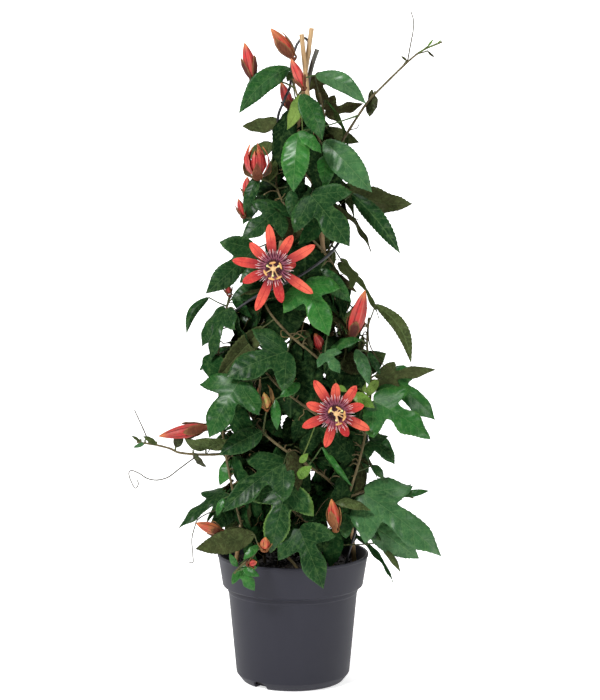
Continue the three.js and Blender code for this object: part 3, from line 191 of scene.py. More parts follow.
# Front leaves: kind, base x, y, z, tip x, y, z, width, roll, the side that faces forwards, and look.
FRONT_LEAVES = (
    ("lobed", 20, -58, 548, 61, -70, 494, 1, 0, 1, "dark"),
    ("lobed", -6, -60, 379, -72, -74, 353, 1, 10, 1, "dark"),
    ("lobed", -58, -68, 347, -90, -80, 288, 1, 0, 1, "green"),
    ("lobed", 13, -64, 454, 39, -76, 398, 0.95, 0, 1, "bright"),
    ("lobed", 88, -54, 324, 149, -68, 285, 0.95, -10, 1, "glossy"),
    ("lobed", -10, -74, 258, -75, -90, 209, 0.8, 25, 1, "dark"),
    ("lobed", -6, -82, 235, -24, -98, 165, 0.85, 0, 1, "rimmed"),
    ("lobed", 79, -48, 220, 162, -70, 156, 0.7, 0, 1, "pale"),
    ("lobed", 7, -92, 190, 33, -110, 129, 0.85, 0, 1, "dark"),
    ("simple", 6, -58, 615, 1, -68, 552, 1.15, 10, 1, "bright"),
    ("simple", 10, -46, 656, 32, -54, 607, 1.15, -15, 1, "green"),
    ("simple", 35, -30, 606, 86, -46, 551, 1, 15, 1, "pale"),
    ("simple", -4, -22, 685, -58, -34, 636, 0.8, -30, 1, "green"),
    ("simple", 26, -8, 678, 80, -24, 646, 0.75, 30, 1, "pale"),
    ("simple", 58, 6, 556, 133, 0, 537, 1.05, -15, -1, "olive"),
    ("folded", 65, -8, 548, 118, -26, 483, 1, 30, 1, "dark"),
    ("lobed", -15, -34, 531, -55, -46, 500, 0.9, 0, 1, "dark"),
    ("lobed", -42, -14, 488, -95, -30, 440, 0.75, -25, 1, "dark"),
    ("lobed", -74, -12, 422, -90, -20, 365, 0.65, 20, 1, "dark"),
    ("folded", -32, -42, 404, -84, -52, 346, 1.3, -20, -1, "olive"),
    ("lobed", -75, -34, 219, -125, -46, 182, 0.6, 25, 1, "dark"),
    ("simple", -42, -60, 180, -106, -66, 165, 0.95, 0, -1, "olive"),
    ("lobed", 57, -50, 200, 97, -60, 170, 0.85, 0, 1, "dark"),
    ("folded", 92, -10, 426, 131, -20, 361, 0.9, 35, 1, "olive"),
    ("lobed", 95, -20, 344, 157, -24, 355, 0.5, 30, -1, "olive"),
    ("simple", -14, 6, 628, -56, -2, 622, 1.3, 25, -1, "olive"),
    ("lobed", 24, 24, 678, 39, 22, 639, 0.75, 0, -1, "brown"),
    ("lobed", 37, 28, 639, 78, 30, 647, 0.8, -20, -1, "brown"),
    ("simple", 9, -42, 655, -6, -44, 618, 1, 20, -1, "lime"),
    ("simple", 6, -54, 616, 31, -60, 593, 1.2, -25, 1, "bright"),
    ("simple", 37, 16, 620, 74, 10, 604, 0.9, 0, -1, "olive"),
    ("simple", 36, -36, 590, 32, -44, 553, 1.35, 0, 1, "bright"),
    ("simple", -1, -44, 553, 0, -50, 522, 1.1, 0, 1, "dark"),
    ("simple", -38, -20, 568, -53, -26, 528, 0.8, 0, 1, "dark"),
    ("simple", -1, -28, 527, 1, -30, 496, 2, 0, -1, "brown"),
    ("folded", -94, 0, 433, -118, -6, 393, 1, -30, 1, "dark"),
    ("simple", -34, -20, 447, -68, -28, 432, 1.25, 0, 1, "dark"),
    ("simple", -38, -16, 423, -59, -22, 395, 1.5, 0, 1, "dark"),
    ("simple", -68, -2, 378, -104, -8, 352, 0.8, 0, 1, "dark"),
    ("simple", -79, -6, 361, -93, -10, 335, 0.9, 0, 1, "dark"),
    ("simple", 30, -44, 467, 64, -52, 432, 0.95, 20, 1, "green"),
    ("folded", 48, -18, 461, 71, -22, 440, 1, 0, -1, "brown"),
    ("simple", 41, -56, 381, 75, -70, 393, 1, -35, 1, "green"),
    ("lobed", 35, -60, 379, 51, -70, 358, 1, 0, 1, "pale"),
    ("simple", 69, -50, 380, 83, -58, 342, 1, -10, 1, "pale"),
    ("simple", 83, -30, 375, 96, -34, 350, 0.8, 0, 1, "dark"),
    ("simple", 65, -44, 358, 81, -50, 332, 1.2, 0, -1, "lime"),
    ("simple", 93, -44, 346, 81, -48, 328, 1.2, 0, -1, "lime"),
    ("simple", 65, -60, 333, 89, -66, 318, 1.2, 0, 1, "lime"),
    ("simple", 49, -58, 341, 59, -60, 335, 1.4, 0, 1, "lime"),
    ("simple", 8, -60, 344, -14, -66, 330, 1.1, 0, 1, "bright"),
    ("lobed", 85, -40, 278, 112, -48, 257, 0.9, 0, 1, "dark"),
    ("simple", 88, -40, 251, 100, -44, 236, 1.3, 0, 1, "dark"),
    ("simple", -64, -30, 273, -116, -40, 279, 0.65, -30, 1, "olive"),
    ("simple", -34, -50, 290, -80, -62, 266, 1.15, 0, 1, "dark"),
    ("simple", -64, -30, 257, -81, -38, 227, 1.2, 0, 1, "bright"),
    ("simple", -76, -46, 216, -83, -50, 197, 1, 0, 1, "bright"),
    ("simple", 5, -80, 244, 21, -86, 258, 1.3, 0, 1, "lime"),
    ("simple", 8, -78, 260, 17, -82, 271, 1.3, 0, 1, "lime"),
    ("folded", 32, -60, 274, 65, -66, 232, 0.6, 30, 1, "bright"),
    ("simple", 53, -56, 216, 53, -58, 232, 1, 0, 1, "green"),
    ("simple", 45, -50, 215, 85, -58, 206, 0.75, -20, 1, "olive"),
    ("folded", 98, -40, 164, 119, -46, 132, 1, 0, 1, "olive"),
    ("lobed", -57, -100, 147, -41, -106, 124, 1, 0, 1, "bright"),
    ("simple", -37, -98, 173, -53, -104, 159, 1, 0, 1, "bright"),
    ("simple", -60, -98, 150, -68, -100, 165, 1, 0, 1, "bright"),
    ("simple", -53, -100, 149, -35, -108, 143, 1, 0, 1, "bright"),
    ("simple", 120, -28, 216, 151, -32, 222, 0.6, 0, 1, "green"),
    ("simple", 119, -28, 218, 132, -30, 227, 0.7, 0, 1, "green"),
    ("simple", 10, -60, 199, 27, -64, 196, 1.5, 0, 1, "dark"),
    ("lobed", 28, -30, 375, -3, -36, 350, 1, 0, 1, "dark"),
    ("simple", 44, -20, 487, 39, -26, 463, 1.1, 0, -1, "olive"),
    ("simple", -19, -58, 326, -17, -62, 293, 0.8, 0, 1, "bright"),
    ("simple", -34, -30, 468, -58, -36, 452, 1.4, 0, 1, "dark"),
    ("simple", -2, -16, 681, -6, -18, 670, 1.3, 0, -1, "dark"),
    ("simple", 87, -4, 662, 85, -6, 641, 0.75, 0, -1, "brown"),
    ("simple", 125, 0, 694, 119, 0, 699, 1, 0, -1, "brown"),
    ("simple", 148, 0, 704, 156, -2, 697, 0.7, 0, -1, "brown"),
    ("simple", 148, 0, 709, 154, -2, 717, 0.6, 0, 1, "lime"),
    ("simple", 158, 2, 712, 163, 0, 716, 0.6, 0, 1, "lime"),
)
# How far some front leaves, by their row, curve sideways, as a share of their length.
LEAF_BENDS = {12: -0.12, 13: 0.12, 14: 0.06, 15: 0.05, 23: 0.14, 35: -0.14}
# Leaves half hidden between the front leaves: kind, base, tip, width, roll and look.
INNER_LEAVES = (
    ("simple", (-20, 0, 602), (-52, 4, 586), 1.3, 20, "olive"),
    ("simple", (-16, 0, 570), (-38, 2, 530), 1.4, -20, "dark"),
    ("simple", (-38, 2, 544), (-55, 2, 514), 1.3, 25, "dark"),
    ("simple", (-58, -10, 208), (-92, -14, 170), 1.2, 20, "dark"),
    ("simple", (46, 0, 388), (71, -2, 354), 1.3, -20, "olive"),
    ("simple", (-82, 0, 412), (-101, 0, 378), 1.2, 25, "dark"),
    ("lobed", (104, -14, 345), (158, -16, 298), 0.8, -20, "glossy"),
    ("simple", (60, -4, 272), (85, -6, 236), 1.3, 20, "dark"),
    ("simple", (86, -6, 282), (114, -8, 246), 1.1, -20, "green"),
    ("simple", (82, -34, 188), (140, -40, 146), 1.1, 10, "pale"),
    ("simple", (-30, -20, 180), (-52, -30, 145), 1.2, 20, "dark"),
    ("simple", (-128, -36, 270), (-123, -39, 291), 1.2, 10, "brown"),
    ("simple", (-110, -36, 264), (-95, -41, 249), 1.3, 60, "brown"),
    ("simple", (-96, -36, 268), (-119, -39, 280), 1.1, -30, "olive"),
    ("simple", (-150, -36, 273), (-165, -38, 283), 0.9, 20, "olive"),
    ("simple", (-163, -36, 275), (-176, -37, 270), 0.8, -20, "pale"),
    ("simple", (-168, -36, 276), (-178, -35, 283), 0.8, 30, "olive"),
    ("simple", (90, -6, 655), (84, -8, 632), 1.5, 30, "brown"),
)
# The rule for the leaves of the back, the sides and the inside.
RULE_LEAVES = 35
RULE_LOW = 165
RULE_HIGH = 655
RULE_BENDS = 40
GOLDEN_ANGLE = 137.5
FRONT_SECTOR = 62
INNER_LEAF = {"length": 62, "from": 0.45, "reach": 0.35, "wide": 2.1, "threefold": 0}
OUTER_LEAF = {"length": 58, "from": 1, "reach": 1, "wide": 1.2, "threefold": 0.3}
LENGTH_SPREAD = 18
WIDTH_SPREAD = 0.3
ROLL_SPREAD = 32
TIP_SWING = 24
REACH_SHARE = 0.72
HANGING_SHARE = 0.8
FULL_WIDTH_DISTANCE = 44
LEAF_DISTANCES = ((150, 62), (250, 66), (400, 56), (500, 44), (600, 30), (670, 20))
LEAF_REACHES = ((150, 104), (250, 112), (350, 100), (450, 92), (550, 72), (640, 52), (670, 42))
# How leaves are bent to clear their neighbours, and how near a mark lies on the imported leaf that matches.
BEND_ROLLS = (0, 14, -14, 28)
BEND_SWINGS = (0, -8, 8, -16, 16)
BEND_DEPTHS = (0, -6, 6, -12, 12, -18, 18, -24)
MATCH = 0.05
UNDERGROWTH_LEAVES = 80
UNDERGROWTH_LENGTHS = (32, 58)
UNDERGROWTH_HEIGHTS = (150, 640)
UNDERGROWTH_REACH = 1.3
UNDERGROWTH_TWINES = 14

# ---------------- flowers and buds, in mm

PETAL_THICKNESS = 0.9
BRACT_THICKNESS = 0.7
PETAL_WIDTH = 12.3
BLOOM_CUP_RADIUS = 7
BLOOM_CUP_DEPTH = 3
BLOOM_CUP_TOP = 0.4
CORONA_RADIUS = 20.5
CORONA_RING_RADIUS = 5.6
CORONA_HOLE_RADIUS = 3.2
CORONA_FILAMENTS = 84
COLUMN_HEIGHT = 9
COLUMN_RADIUS = 1.5
OVARY_RADIUS = 3
STIGMAS = 3
STIGMA_PROFILE = ((0, -1.2), (0.9, -0.9), (1.35, 0), (0.9, 0.9), (0, 1.2))
STAMEN_REACH = 8.6
STAMEN_HANG = 0.35
ANTHER_HALVES = (3.8, 1.5, 1.4)
# Name, centre, facing, the petal that folds back, petals' turns and lengths, and stamens' turns.
BLOOMS = (
    ("bloom_a", (-19, -88, 473), (-0.12, -1, -0.12), 3,
     ((97, 46), (60, 39), (28, 49), (-4, 34), (-36, 50), (-81, 41), (-114, 53), (-153, 40), (173, 47),
      (136, 37)),
     (-150, -102, -62, 20, 100)),
    ("bloom_b", (46, -88, 316), (0.06, -1, 0.05), 7,
     ((123, 42), (88, 32), (51, 37), (14, 32), (-27, 42), (-62, 30), (-106, 39), (-131, 26), (-156, 39),
      (162, 33)),
     (-30, -5, -75, 60, 150)),
)
PETAL_DEPTHS = (0, 0.2, 0.1, 0.5, 0, 0.9, 0.3, 0.7, 0.4, 0.2)
PETAL_GLOWS = (0.2, 0.3, 0.25, 0, 0.35, 0, 0.15, 0, 0, 0.1)
BUD_FULLNESS = 0.8
SMALL_BUD = 25
BUD_FEET = (0.06, 0.1)
HEART_SHARE = 0.42
HOLDER_DEPTH = 3.2
HOLDER_RIM = 1.3
BRACT_START = -0.95
BRACT_SPACE = 0.45
BRACT_LEAN = 0.7
BRACT_ANGLES = {3: 50, 2: 66}
BRACT_UNDERSIDE = (0.3, 0.3, 0.1, 1)
BRACT_EDGE = (0.42, 0.24, 0.09, 1)
BRACT_RIM = (0.5, 0.35, 0.12, 1)
OPENING_BUD = 5
OPENING_PETALS = 5
OPENING_WIDTH = 0.66
OPENING_HEIGHTS = (0.88, 1)
OPENING_SPREADS = (0.34, 0.22, 0.22)
CROWN_SPREADS = (0.2, 0.1, 0.26)
CROWN_HEIGHTS = (0.92, 0.8)
RED, CORAL, DEEP = (0.330, 0.042, 0.032, 1), (0.460, 0.085, 0.065, 1), (0.190, 0.018, 0.014, 1)
TAN, GREENISH = (0.340, 0.110, 0.035, 1), (0.300, 0.310, 0.070, 1)
MAROON, BROWN, LIGHT_BROWN = (0.085, 0.018, 0.012, 1), (0.150, 0.042, 0.018, 1), (0.250, 0.090, 0.030, 1)
# Base, tip, width, bracts' length as a share of the bud's, how far they are turned, and both colours.
BUDS = (
    ((-43, -30, 672), (-52, -32, 712), 13.5, 0.62, 0, RED, MAROON),
    ((1, -15, 696), (-24, -18, 728), 14, 0.72, 35, TAN, BROWN),
    ((12, -33, 663), (-2, -36, 695), 11, 0.4, 0, CORAL, BROWN),
    ((-3, 8, 641), (-13, 8, 671), 12, 0.35, 60, DEEP, MAROON),
    ((-38, -28, 566), (-40, -32, 604), 21, 0.5, 0, RED, BROWN),
    ((-51, -12, 547), (-50, -12, 567), 10, 0.4, 0, CORAL, BROWN),
    ((-54, -14, 524), (-60, -14, 543), 8, 0.7, 0, RED, BROWN),
    ((-70, -18, 438), (-73, -18, 451), 6.7, 0.6, 0, RED, BROWN),
    ((64, -42, 392), (79, -46, 445), 17.5, 0.38, 60, RED, MAROON),
    ((32, -34, 377), (24, -36, 397), 12, 0.4, 0, DEEP, MAROON),
    ((-28, -64, 317), (-31, -64, 335), 10, 1.4, 0, GREENISH, LIGHT_BROWN),
    ((-94, -36, 293), (-148, -40, 283), 15, 0.5, 60, RED, BROWN),
    ((47, -72, 185), (42, -76, 220), 13.5, 0.7, 40, TAN, LIGHT_BROWN),
    ((-78, -58, 180), (-106, -64, 191), 12.5, 0.45, 60, TAN, BROWN),
    ((-30, -108, 171), (-29, -110, 185), 11, 0.5, 0, TAN, LIGHT_BROWN),
    ((-47, -104, 154), (-38, -106, 157), 7.5, 0.5, 0, RED, BROWN),
    ((-2, -52, 345), (-2, -54, 353), 7, 0.5, 0, GREENISH, BROWN),
)

# ---------------- looks of leaves

# Top, underside, roughness, edge and how wavy the edge is.
LOOKS = {
    "bright": ((0.026, 0.140, 0.022), (0.080, 0.130, 0.035), 0.30, (0.055, 0.200, 0.030), 1.0),
    "glossy": ((0.022, 0.115, 0.020), (0.080, 0.120, 0.035), 0.26, (0.055, 0.180, 0.030), 1.3),
    "rimmed": ((0.012, 0.052, 0.013), (0.045, 0.070, 0.022), 0.36, (0.170, 0.300, 0.060), 0.9),
    "green": ((0.018, 0.080, 0.017), (0.060, 0.090, 0.028), 0.42, None, 0.9),
    "dark": ((0.012, 0.048, 0.013), (0.045, 0.062, 0.022), 0.43, (0.040, 0.110, 0.030), 0.7),
    # Pale: a lighter, greyer green, partly the leaf's own colour and partly painted sheen.
    "pale": ((0.050, 0.140, 0.048), (0.100, 0.150, 0.055), 0.32, None, 0.9),
    "olive": ((0.068, 0.085, 0.028), (0.065, 0.073, 0.028), 0.50, None, 0.8),
    "brown": ((0.032, 0.030, 0.013), (0.050, 0.040, 0.018), 0.45, None, 0.8),
    # Shade: painted shade, near-black on both sides, for leaves deep inside the plant where the shadow falls.
    "shade": ((0.008, 0.024, 0.008), (0.014, 0.024, 0.009), 0.60, None, 0.9),
    "lime": ((0.150, 0.270, 0.040), (0.180, 0.270, 0.060), 0.38, (0.110, 0.110, 0.025), 0.8),
}
RULE_LOOKS = ("dark", "green", "dark", "olive", "dark", "bright", "dark", "green", "brown")
# The small leaves inside the plant mostly take the painted-shade look.
LOW_LOOKS = ("shade", "shade", "dark", "shade", "brown", "dark")
DULL_SHEEN = 0.58

# ---------------- the stage, in metres

# The floor runs far out all round; the wall behind it is narrower.
SWEEP_ROWS = (-28, -15, -8, -5, -3.5, -2.4, -1.6, -1, -0.5, 0, 0.5, 1, 1.6, 2.4, 3.5, 5.2)
HALF_COLUMNS = (0.4, 0.9, 1.5, 2.2, 3.2, 4.5, 6, 9, 15, 28)
SWEEP_COLUMNS = (*(-x for x in reversed(HALF_COLUMNS)), 0, *HALF_COLUMNS)
SWEEP_BEND = 0.8
SWEEP_HEIGHT = 5.5
SWEEP_DROP = 0.0005
WALL_WIDTH = 12
GLOW_START = 0.4
GLOW_SPAN = 1.6
CAMERA_SIDE = 0.008
CLIP_END = 50
# The width of the camera's sensor is in mm.
SENSOR_WIDTH = 36
KEY_PLACE = (-1.3, -1.7, 2.0)
KEY_SIZE = 0.55
FILL_PLACE = (1.9, -1.2, 1.2)
TOP_PLACE = (0.2, 0.1, 2.3)
SOFT_SIZE = 0.9
LAMP_AIM = (0, 0, 0.4)

# ---------------- small helpers


def axis_x(height):
    """Where the plant's leaning axis is at a height."""
    return (height - AXIS_FOOT_HEIGHT) * AXIS_LEAN


def along(pairs, x):
    """Value at x on a broken line."""
    return float(np.interp(x, *zip(*pairs)))


def seeded_draw(seed):
    """A seeded draw of numbers from 0 to 1."""
    state = seed

    def draw():
        nonlocal state
        state = state * 48271 % 2147483647
        return state / 2147483647

    return draw


def mixed(first, second, share):
    """Two colours mixed."""
    return tuple(a + (b - a) * share for a, b in zip(first, second))


def spoke(turn):
    """The level direction at a turn about the third axis."""
    return Vector((cos(turn), sin(turn), 0))


def raised(height):
    """A step along the third axis."""
    return Vector((0, 0, height))


def at_turn(degrees, distance, height):
    """A place at a turn and a distance from the plant's axis."""
    turn = radians(degrees)
    return axis_x(height) + distance * cos(turn), distance * sin(turn), height


class Route:
    """A curve read evenly by its length: smooth through its points, or a bend towards its middle point."""

    def __init__(self, points, bend=False):
        self.points = np.array([tuple(p) for p in points], float)
        self.bend = bend
        self.shares = np.linspace(0, 1, 201)
        reached = np.array([self.at(t) for t in self.shares])
        steps = np.linalg.norm(np.diff(reached, axis=0), axis=1)
        self.lengths = np.concatenate([[0], np.cumsum(steps)])

    def at(self, t):
        if self.bend:
            p, q, r = self.points
            return (1 - t) ** 2 * p + 2 * (1 - t) * t * q + t * t * r
        last = len(self.points) - 1
        place = t * last
        i = min(int(place), last - 1)
        w = place - i
        p1, p2 = self.points[i], self.points[i + 1]
        p0 = self.points[i - 1] if i else 2 * p1 - p2
        p3 = self.points[i + 2] if i + 2 <= last else 2 * p2 - p1
        m1, m2 = (p2 - p0) / 2, (p3 - p1) / 2
        return ((2 * w**3 - 3 * w**2 + 1) * p1 + (w**3 - 2 * w**2 + w) * m1
                + (-2 * w**3 + 3 * w**2) * p2 + (w**3 - w**2) * m2)

    def spaced(self, count):
        """Points at equal steps of length, the two ends among them."""
        wanted = np.linspace(0, self.lengths[-1], count + 1)
        return [Vector(self.at(t)) for t in np.interp(wanted, self.lengths, self.shares)]


# ---------------- meshes


def grid_faces(rows, columns, closed=False):
    """Four-sided faces over rows of points, with each row closed to a ring or open."""
    faces = []
    for i in range(rows - 1):
        for k in range(columns if closed else columns - 1):
            p, q = i * columns + k, i * columns + (k + 1) % columns
            faces.append([p, q, q + columns, p + columns])
    return faces


def tube_faces(rows, sides):
    """Faces over closed rings, with one more over each end."""
    last = (rows - 1) * sides
    ends = [[sides - 1 - k for k in range(sides)], [last + k for k in range(sides)]]
    return grid_faces(rows, sides, closed=True) + ends


def linked(name, data):
    """A new object in the scene."""
    made = bpy.data.objects.new(name, data)
    bpy.context.scene.collection.objects.link(made)
    return made


class Shape:
    """Points and faces of one piece in mm, with a tone, a map and a finish number for each."""

    def __init__(self):
        self.points, self.faces, self.finishes, self.tones, self.maps = [], [], [], [], []

    def add(self, points, faces, tone=(1, 1, 1, 1), finish=0, maps=None):
        """Takes in points and faces, with one tone for all the points or a list of theirs."""
        start = len(self.points)
        self.points.extend(tuple(p) for p in points)
        self.faces.extend([start + i for i in face] for face in faces)
        self.finishes.extend([finish] * len(faces))
        self.tones.extend(tone if isinstance(tone, list) else [tone] * len(points))
        self.maps.extend(maps if maps is not None else [(0, 0, 0)] * len(points))

    def tube(self, points, radii, sides=8, **look):
        """A round tube through points, closed at both ends, with its map's first value along the length."""
        points = [Vector(p) for p in points]
        rings, maps = [], []
        side = None
        reached = 0
        for i, point in enumerate(points):
            ahead = (points[min(i + 1, len(points) - 1)] - points[max(i - 1, 0)]).normalized()
            if side is None:
                side = ahead.orthogonal().normalized()
            side = (side - ahead * side.dot(ahead)).normalized()
            other = ahead.cross(side)
            reached += (point - points[max(i - 1, 0)]).length
            for k in range(sides):
                turn = 2 * pi * k / sides
                rings.append(point + (side * cos(turn) + other * sin(turn)) * radii[i])
                maps.append((reached, cos(turn) * radii[i], sin(turn) * radii[i]))
        self.add(rings, tube_faces(len(points), sides), maps=maps, **look)

    def strand(self, points, steps, thick, thin, **look):
        """A tube that runs smoothly through its points and thins evenly."""
        self.tube(Route(points).spaced(steps), np.linspace(thick, thin, steps + 1), **look)

    def lathe(self, profile, segments, place=lambda p: p, ripple=lambda turn, z: 1, **look):
        """A profile of [radius, height] turned about +Z, its ends on the axis, then placed."""
        rings, maps = [], []
        count = len(profile)
        low, high = profile[0][1], max(z for _, z in profile)
        for r, z in profile[1:-1]:
            for k in range(segments):
                turn = 2 * pi * k / segments
                size = r * ripple(turn, z)
                rings.append(place(Vector((size * cos(turn), size * sin(turn), z))))
                maps.append(((z - low) / max(high - low, 1e-6), turn / (2 * pi), size))
        faces = grid_faces(count - 2, segments, closed=True)
        for (_, z), ring, flip in ((profile[0], 0, True), (profile[-1], count - 3, False)):
            rings.append(place(raised(z)))
            maps.append(((z - low) / max(high - low, 1e-6), 0, 0))
            hub = len(rings) - 1
            for k in range(segments):
                pair = [ring * segments + k, ring * segments + (k + 1) % segments]
                faces.append([hub] + (pair[::-1] if flip else pair))
        self.add(rings, faces, maps=maps, **look)

    def join(self, other):
        """Takes in another shape's points and faces."""
        self.add(other.points, other.faces, tone=other.tones, maps=other.maps)

    def build(self, name, finishes, slot, *nodes):
        """The piece as an object that rides on the root and stands for its CAD nodes."""
        mesh = bpy.data.meshes.new(name)
        mesh.from_pydata([Vector(p) * MM for p in self.points], [], self.faces)
        for finish in finishes:
            mesh.materials.append(finish)
        mesh.polygons.foreach_set("material_index", self.finishes)
        mesh.polygons.foreach_set("use_smooth", [True] * len(self.faces))
        tone = mesh.attributes.new("tone", "FLOAT_COLOR", "POINT")
        tone.data.foreach_set("color", np.array(self.tones, np.float32).ravel())
        place = mesh.attributes.new("place", "FLOAT_VECTOR", "POINT")
        place.data.foreach_set("vector", np.array(self.maps, np.float32).ravel())
        mesh.validate()
        made = linked(name, mesh)
        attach(made, "root")
        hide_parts(*nodes)
        return made


def blade_frame(base, tip, facing, roll=0.0):
    """Length, midrib direction, top direction and right-hand direction of a blade."""
    a = tip - base
    length = a.length
    a = a.normalized()
    n = (facing - a * facing.dot(a)).normalized()
    n = Quaternion(a, radians(roll)) @ n
    return length, a, n, n.cross(a)


def frame_along(origin, direction):
    """A function that places local points with their third axis along a direction."""
    z = Vector(direction).normalized()
    helper = Vector((0, 1, 0)) if abs(z.z) > 0.9 else Vector((0, 0, 1))
    x = helper.cross(z).normalized()
    y = z.cross(x)
    return lambda p: Vector(origin) + x * p[0] + y * p[1] + z * p[2]


# ---------------- materials


def arithmetic(operation, reflected=False):
    """A method that adds one Math node, its two sides swapped where it is the reflected form."""
    if reflected:
        return lambda self, other: self.finish.math(operation, other, self)
    return lambda self, other: self.finish.math(operation, self, other)


class Value:
    """A node's output with arithmetic: an expression on values adds its Math nodes."""

    def __init__(self, finish, socket):
        self.finish, self.socket = finish, socket

    __add__, __radd__ = arithmetic("ADD"), arithmetic("ADD", reflected=True)
    __sub__, __rsub__ = arithmetic("SUBTRACT"), arithmetic("SUBTRACT", reflected=True)
    __mul__, __rmul__ = arithmetic("MULTIPLY"), arithmetic("MULTIPLY", reflected=True)
    __truediv__, __rtruediv__ = arithmetic("DIVIDE"), arithmetic("DIVIDE", reflected=True)


class Finish:
    """One material, built up node by node."""

    def __init__(self, name):
        self.material = bpy.data.materials.new(name)
        self.material.use_nodes = True
        self.tree = self.material.node_tree
        self.shader = self.tree.nodes["Principled BSDF"]

    def node(self, kind, settings=None, sockets=None, output=0):
        """Adds a node: its settings first, then the values or links of its sockets. Gives one output."""
        made = self.tree.nodes.new(kind)
        for name, value in (settings or {}).items():
            if name == "stops":
                for i, (place, colour) in enumerate(value):
                    ramp = made.color_ramp.elements
                    stop = ramp[i] if i < len(ramp) else ramp.new(place)
                    stop.position, stop.color = place, colour
            else:
                setattr(made, name, value)
        for name, value in (sockets or {}).items():
            self.feed(made.inputs[name], value)
        return Value(self, made.outputs[output])

    def feed(self, socket, value):
        """Links a value to a socket, or sets a plain one."""
        if isinstance(value, Value):
            self.tree.links.new(value.socket, socket)
        else:
            socket.default_value = value

    def math(self, operation, *values):
        """One Math node on values or numbers."""
        return self.node("ShaderNodeMath", {"operation": operation}, dict(enumerate(values)))

    def absolute(self, value):
        return self.math("ABSOLUTE", value)

    def wave(self, value):
        """Distance to the nearest whole number, from 0 to 0.5."""
        return self.math("PINGPONG", value, 0.5)

    def near(self, distance, width):
        """1 on a line, falling smoothly to 0 at a distance of width from it."""
        return self.node("ShaderNodeMapRange", {"interpolation_type": "SMOOTHSTEP"},
                         {"Value": distance, "From Min": width, "From Max": 0.0})

    def clamp(self, value):
        return self.node("ShaderNodeClamp", {}, {"Value": value})

    def over(self, value, level, gain):
        """0 up to a level, then rising by a gain to 1."""
        return self.clamp((value - level) * gain)

    def mix(self, share, first, second, blend="MIX"):
        """Colours mixed."""
        return self.node("ShaderNodeMix", {"data_type": "RGBA", "blend_type": blend, "clamp_factor": True},
                         {0: share, 6: first, 7: second}, output=2)

    def tone(self):
        """The colour that a piece's points carry."""
        return self.node("ShaderNodeAttribute", {"attribute_name": "tone"})

    def sheen_share(self):
        """How dull a leaf is, from 0 to 1, which its points carry as the alpha of their colour."""
        return self.node("ShaderNodeAttribute", {"attribute_name": "tone"}, output=3)

    def place(self):
        """The three values that a piece's points carry."""
        vector = self.node("ShaderNodeAttribute", {"attribute_name": "place"}, output=1)
        split = self.node("ShaderNodeSeparateXYZ", {}, {"Vector": vector}).socket.node
        return [Value(self, split.outputs[i]) for i in range(3)]

    def noise(self, scale, detail=3.0, stretch=(1, 1, 1)):
        """Noise over the piece's own place, scale in turns a metre."""
        where = self.node("ShaderNodeTexCoord", {}, output=3)
        stretched = self.node("ShaderNodeVectorMath", {"operation": "MULTIPLY"}, {0: where, 1: stretch})
        return self.node("ShaderNodeTexNoise", {}, {"Vector": stretched, "Scale": scale, "Detail": detail,
                                                    "Roughness": 0.55})

    def cells(self, scale):
        """Distance to the nearest edge between small irregular cells."""
        where = self.node("ShaderNodeTexCoord", {}, output=3)
        return self.node("ShaderNodeTexVoronoi", {"feature": "DISTANCE_TO_EDGE"},
                         {"Vector": where, "Scale": scale})

    def bump(self, height, distance, strength=1.0):
        """Fine relief of the surface, its distance in metres."""
        self.feed(self.shader.inputs["Normal"], self.node(
            "ShaderNodeBump", {}, {"Height": height, "Distance": distance, "Strength": strength}))

    def set(self, **sockets):
        """Feeds the shader's sockets, named with underscores for spaces."""
        for name, value in sockets.items():
            self.feed(self.shader.inputs[name.replace("_", " ")], value)
        return self.material


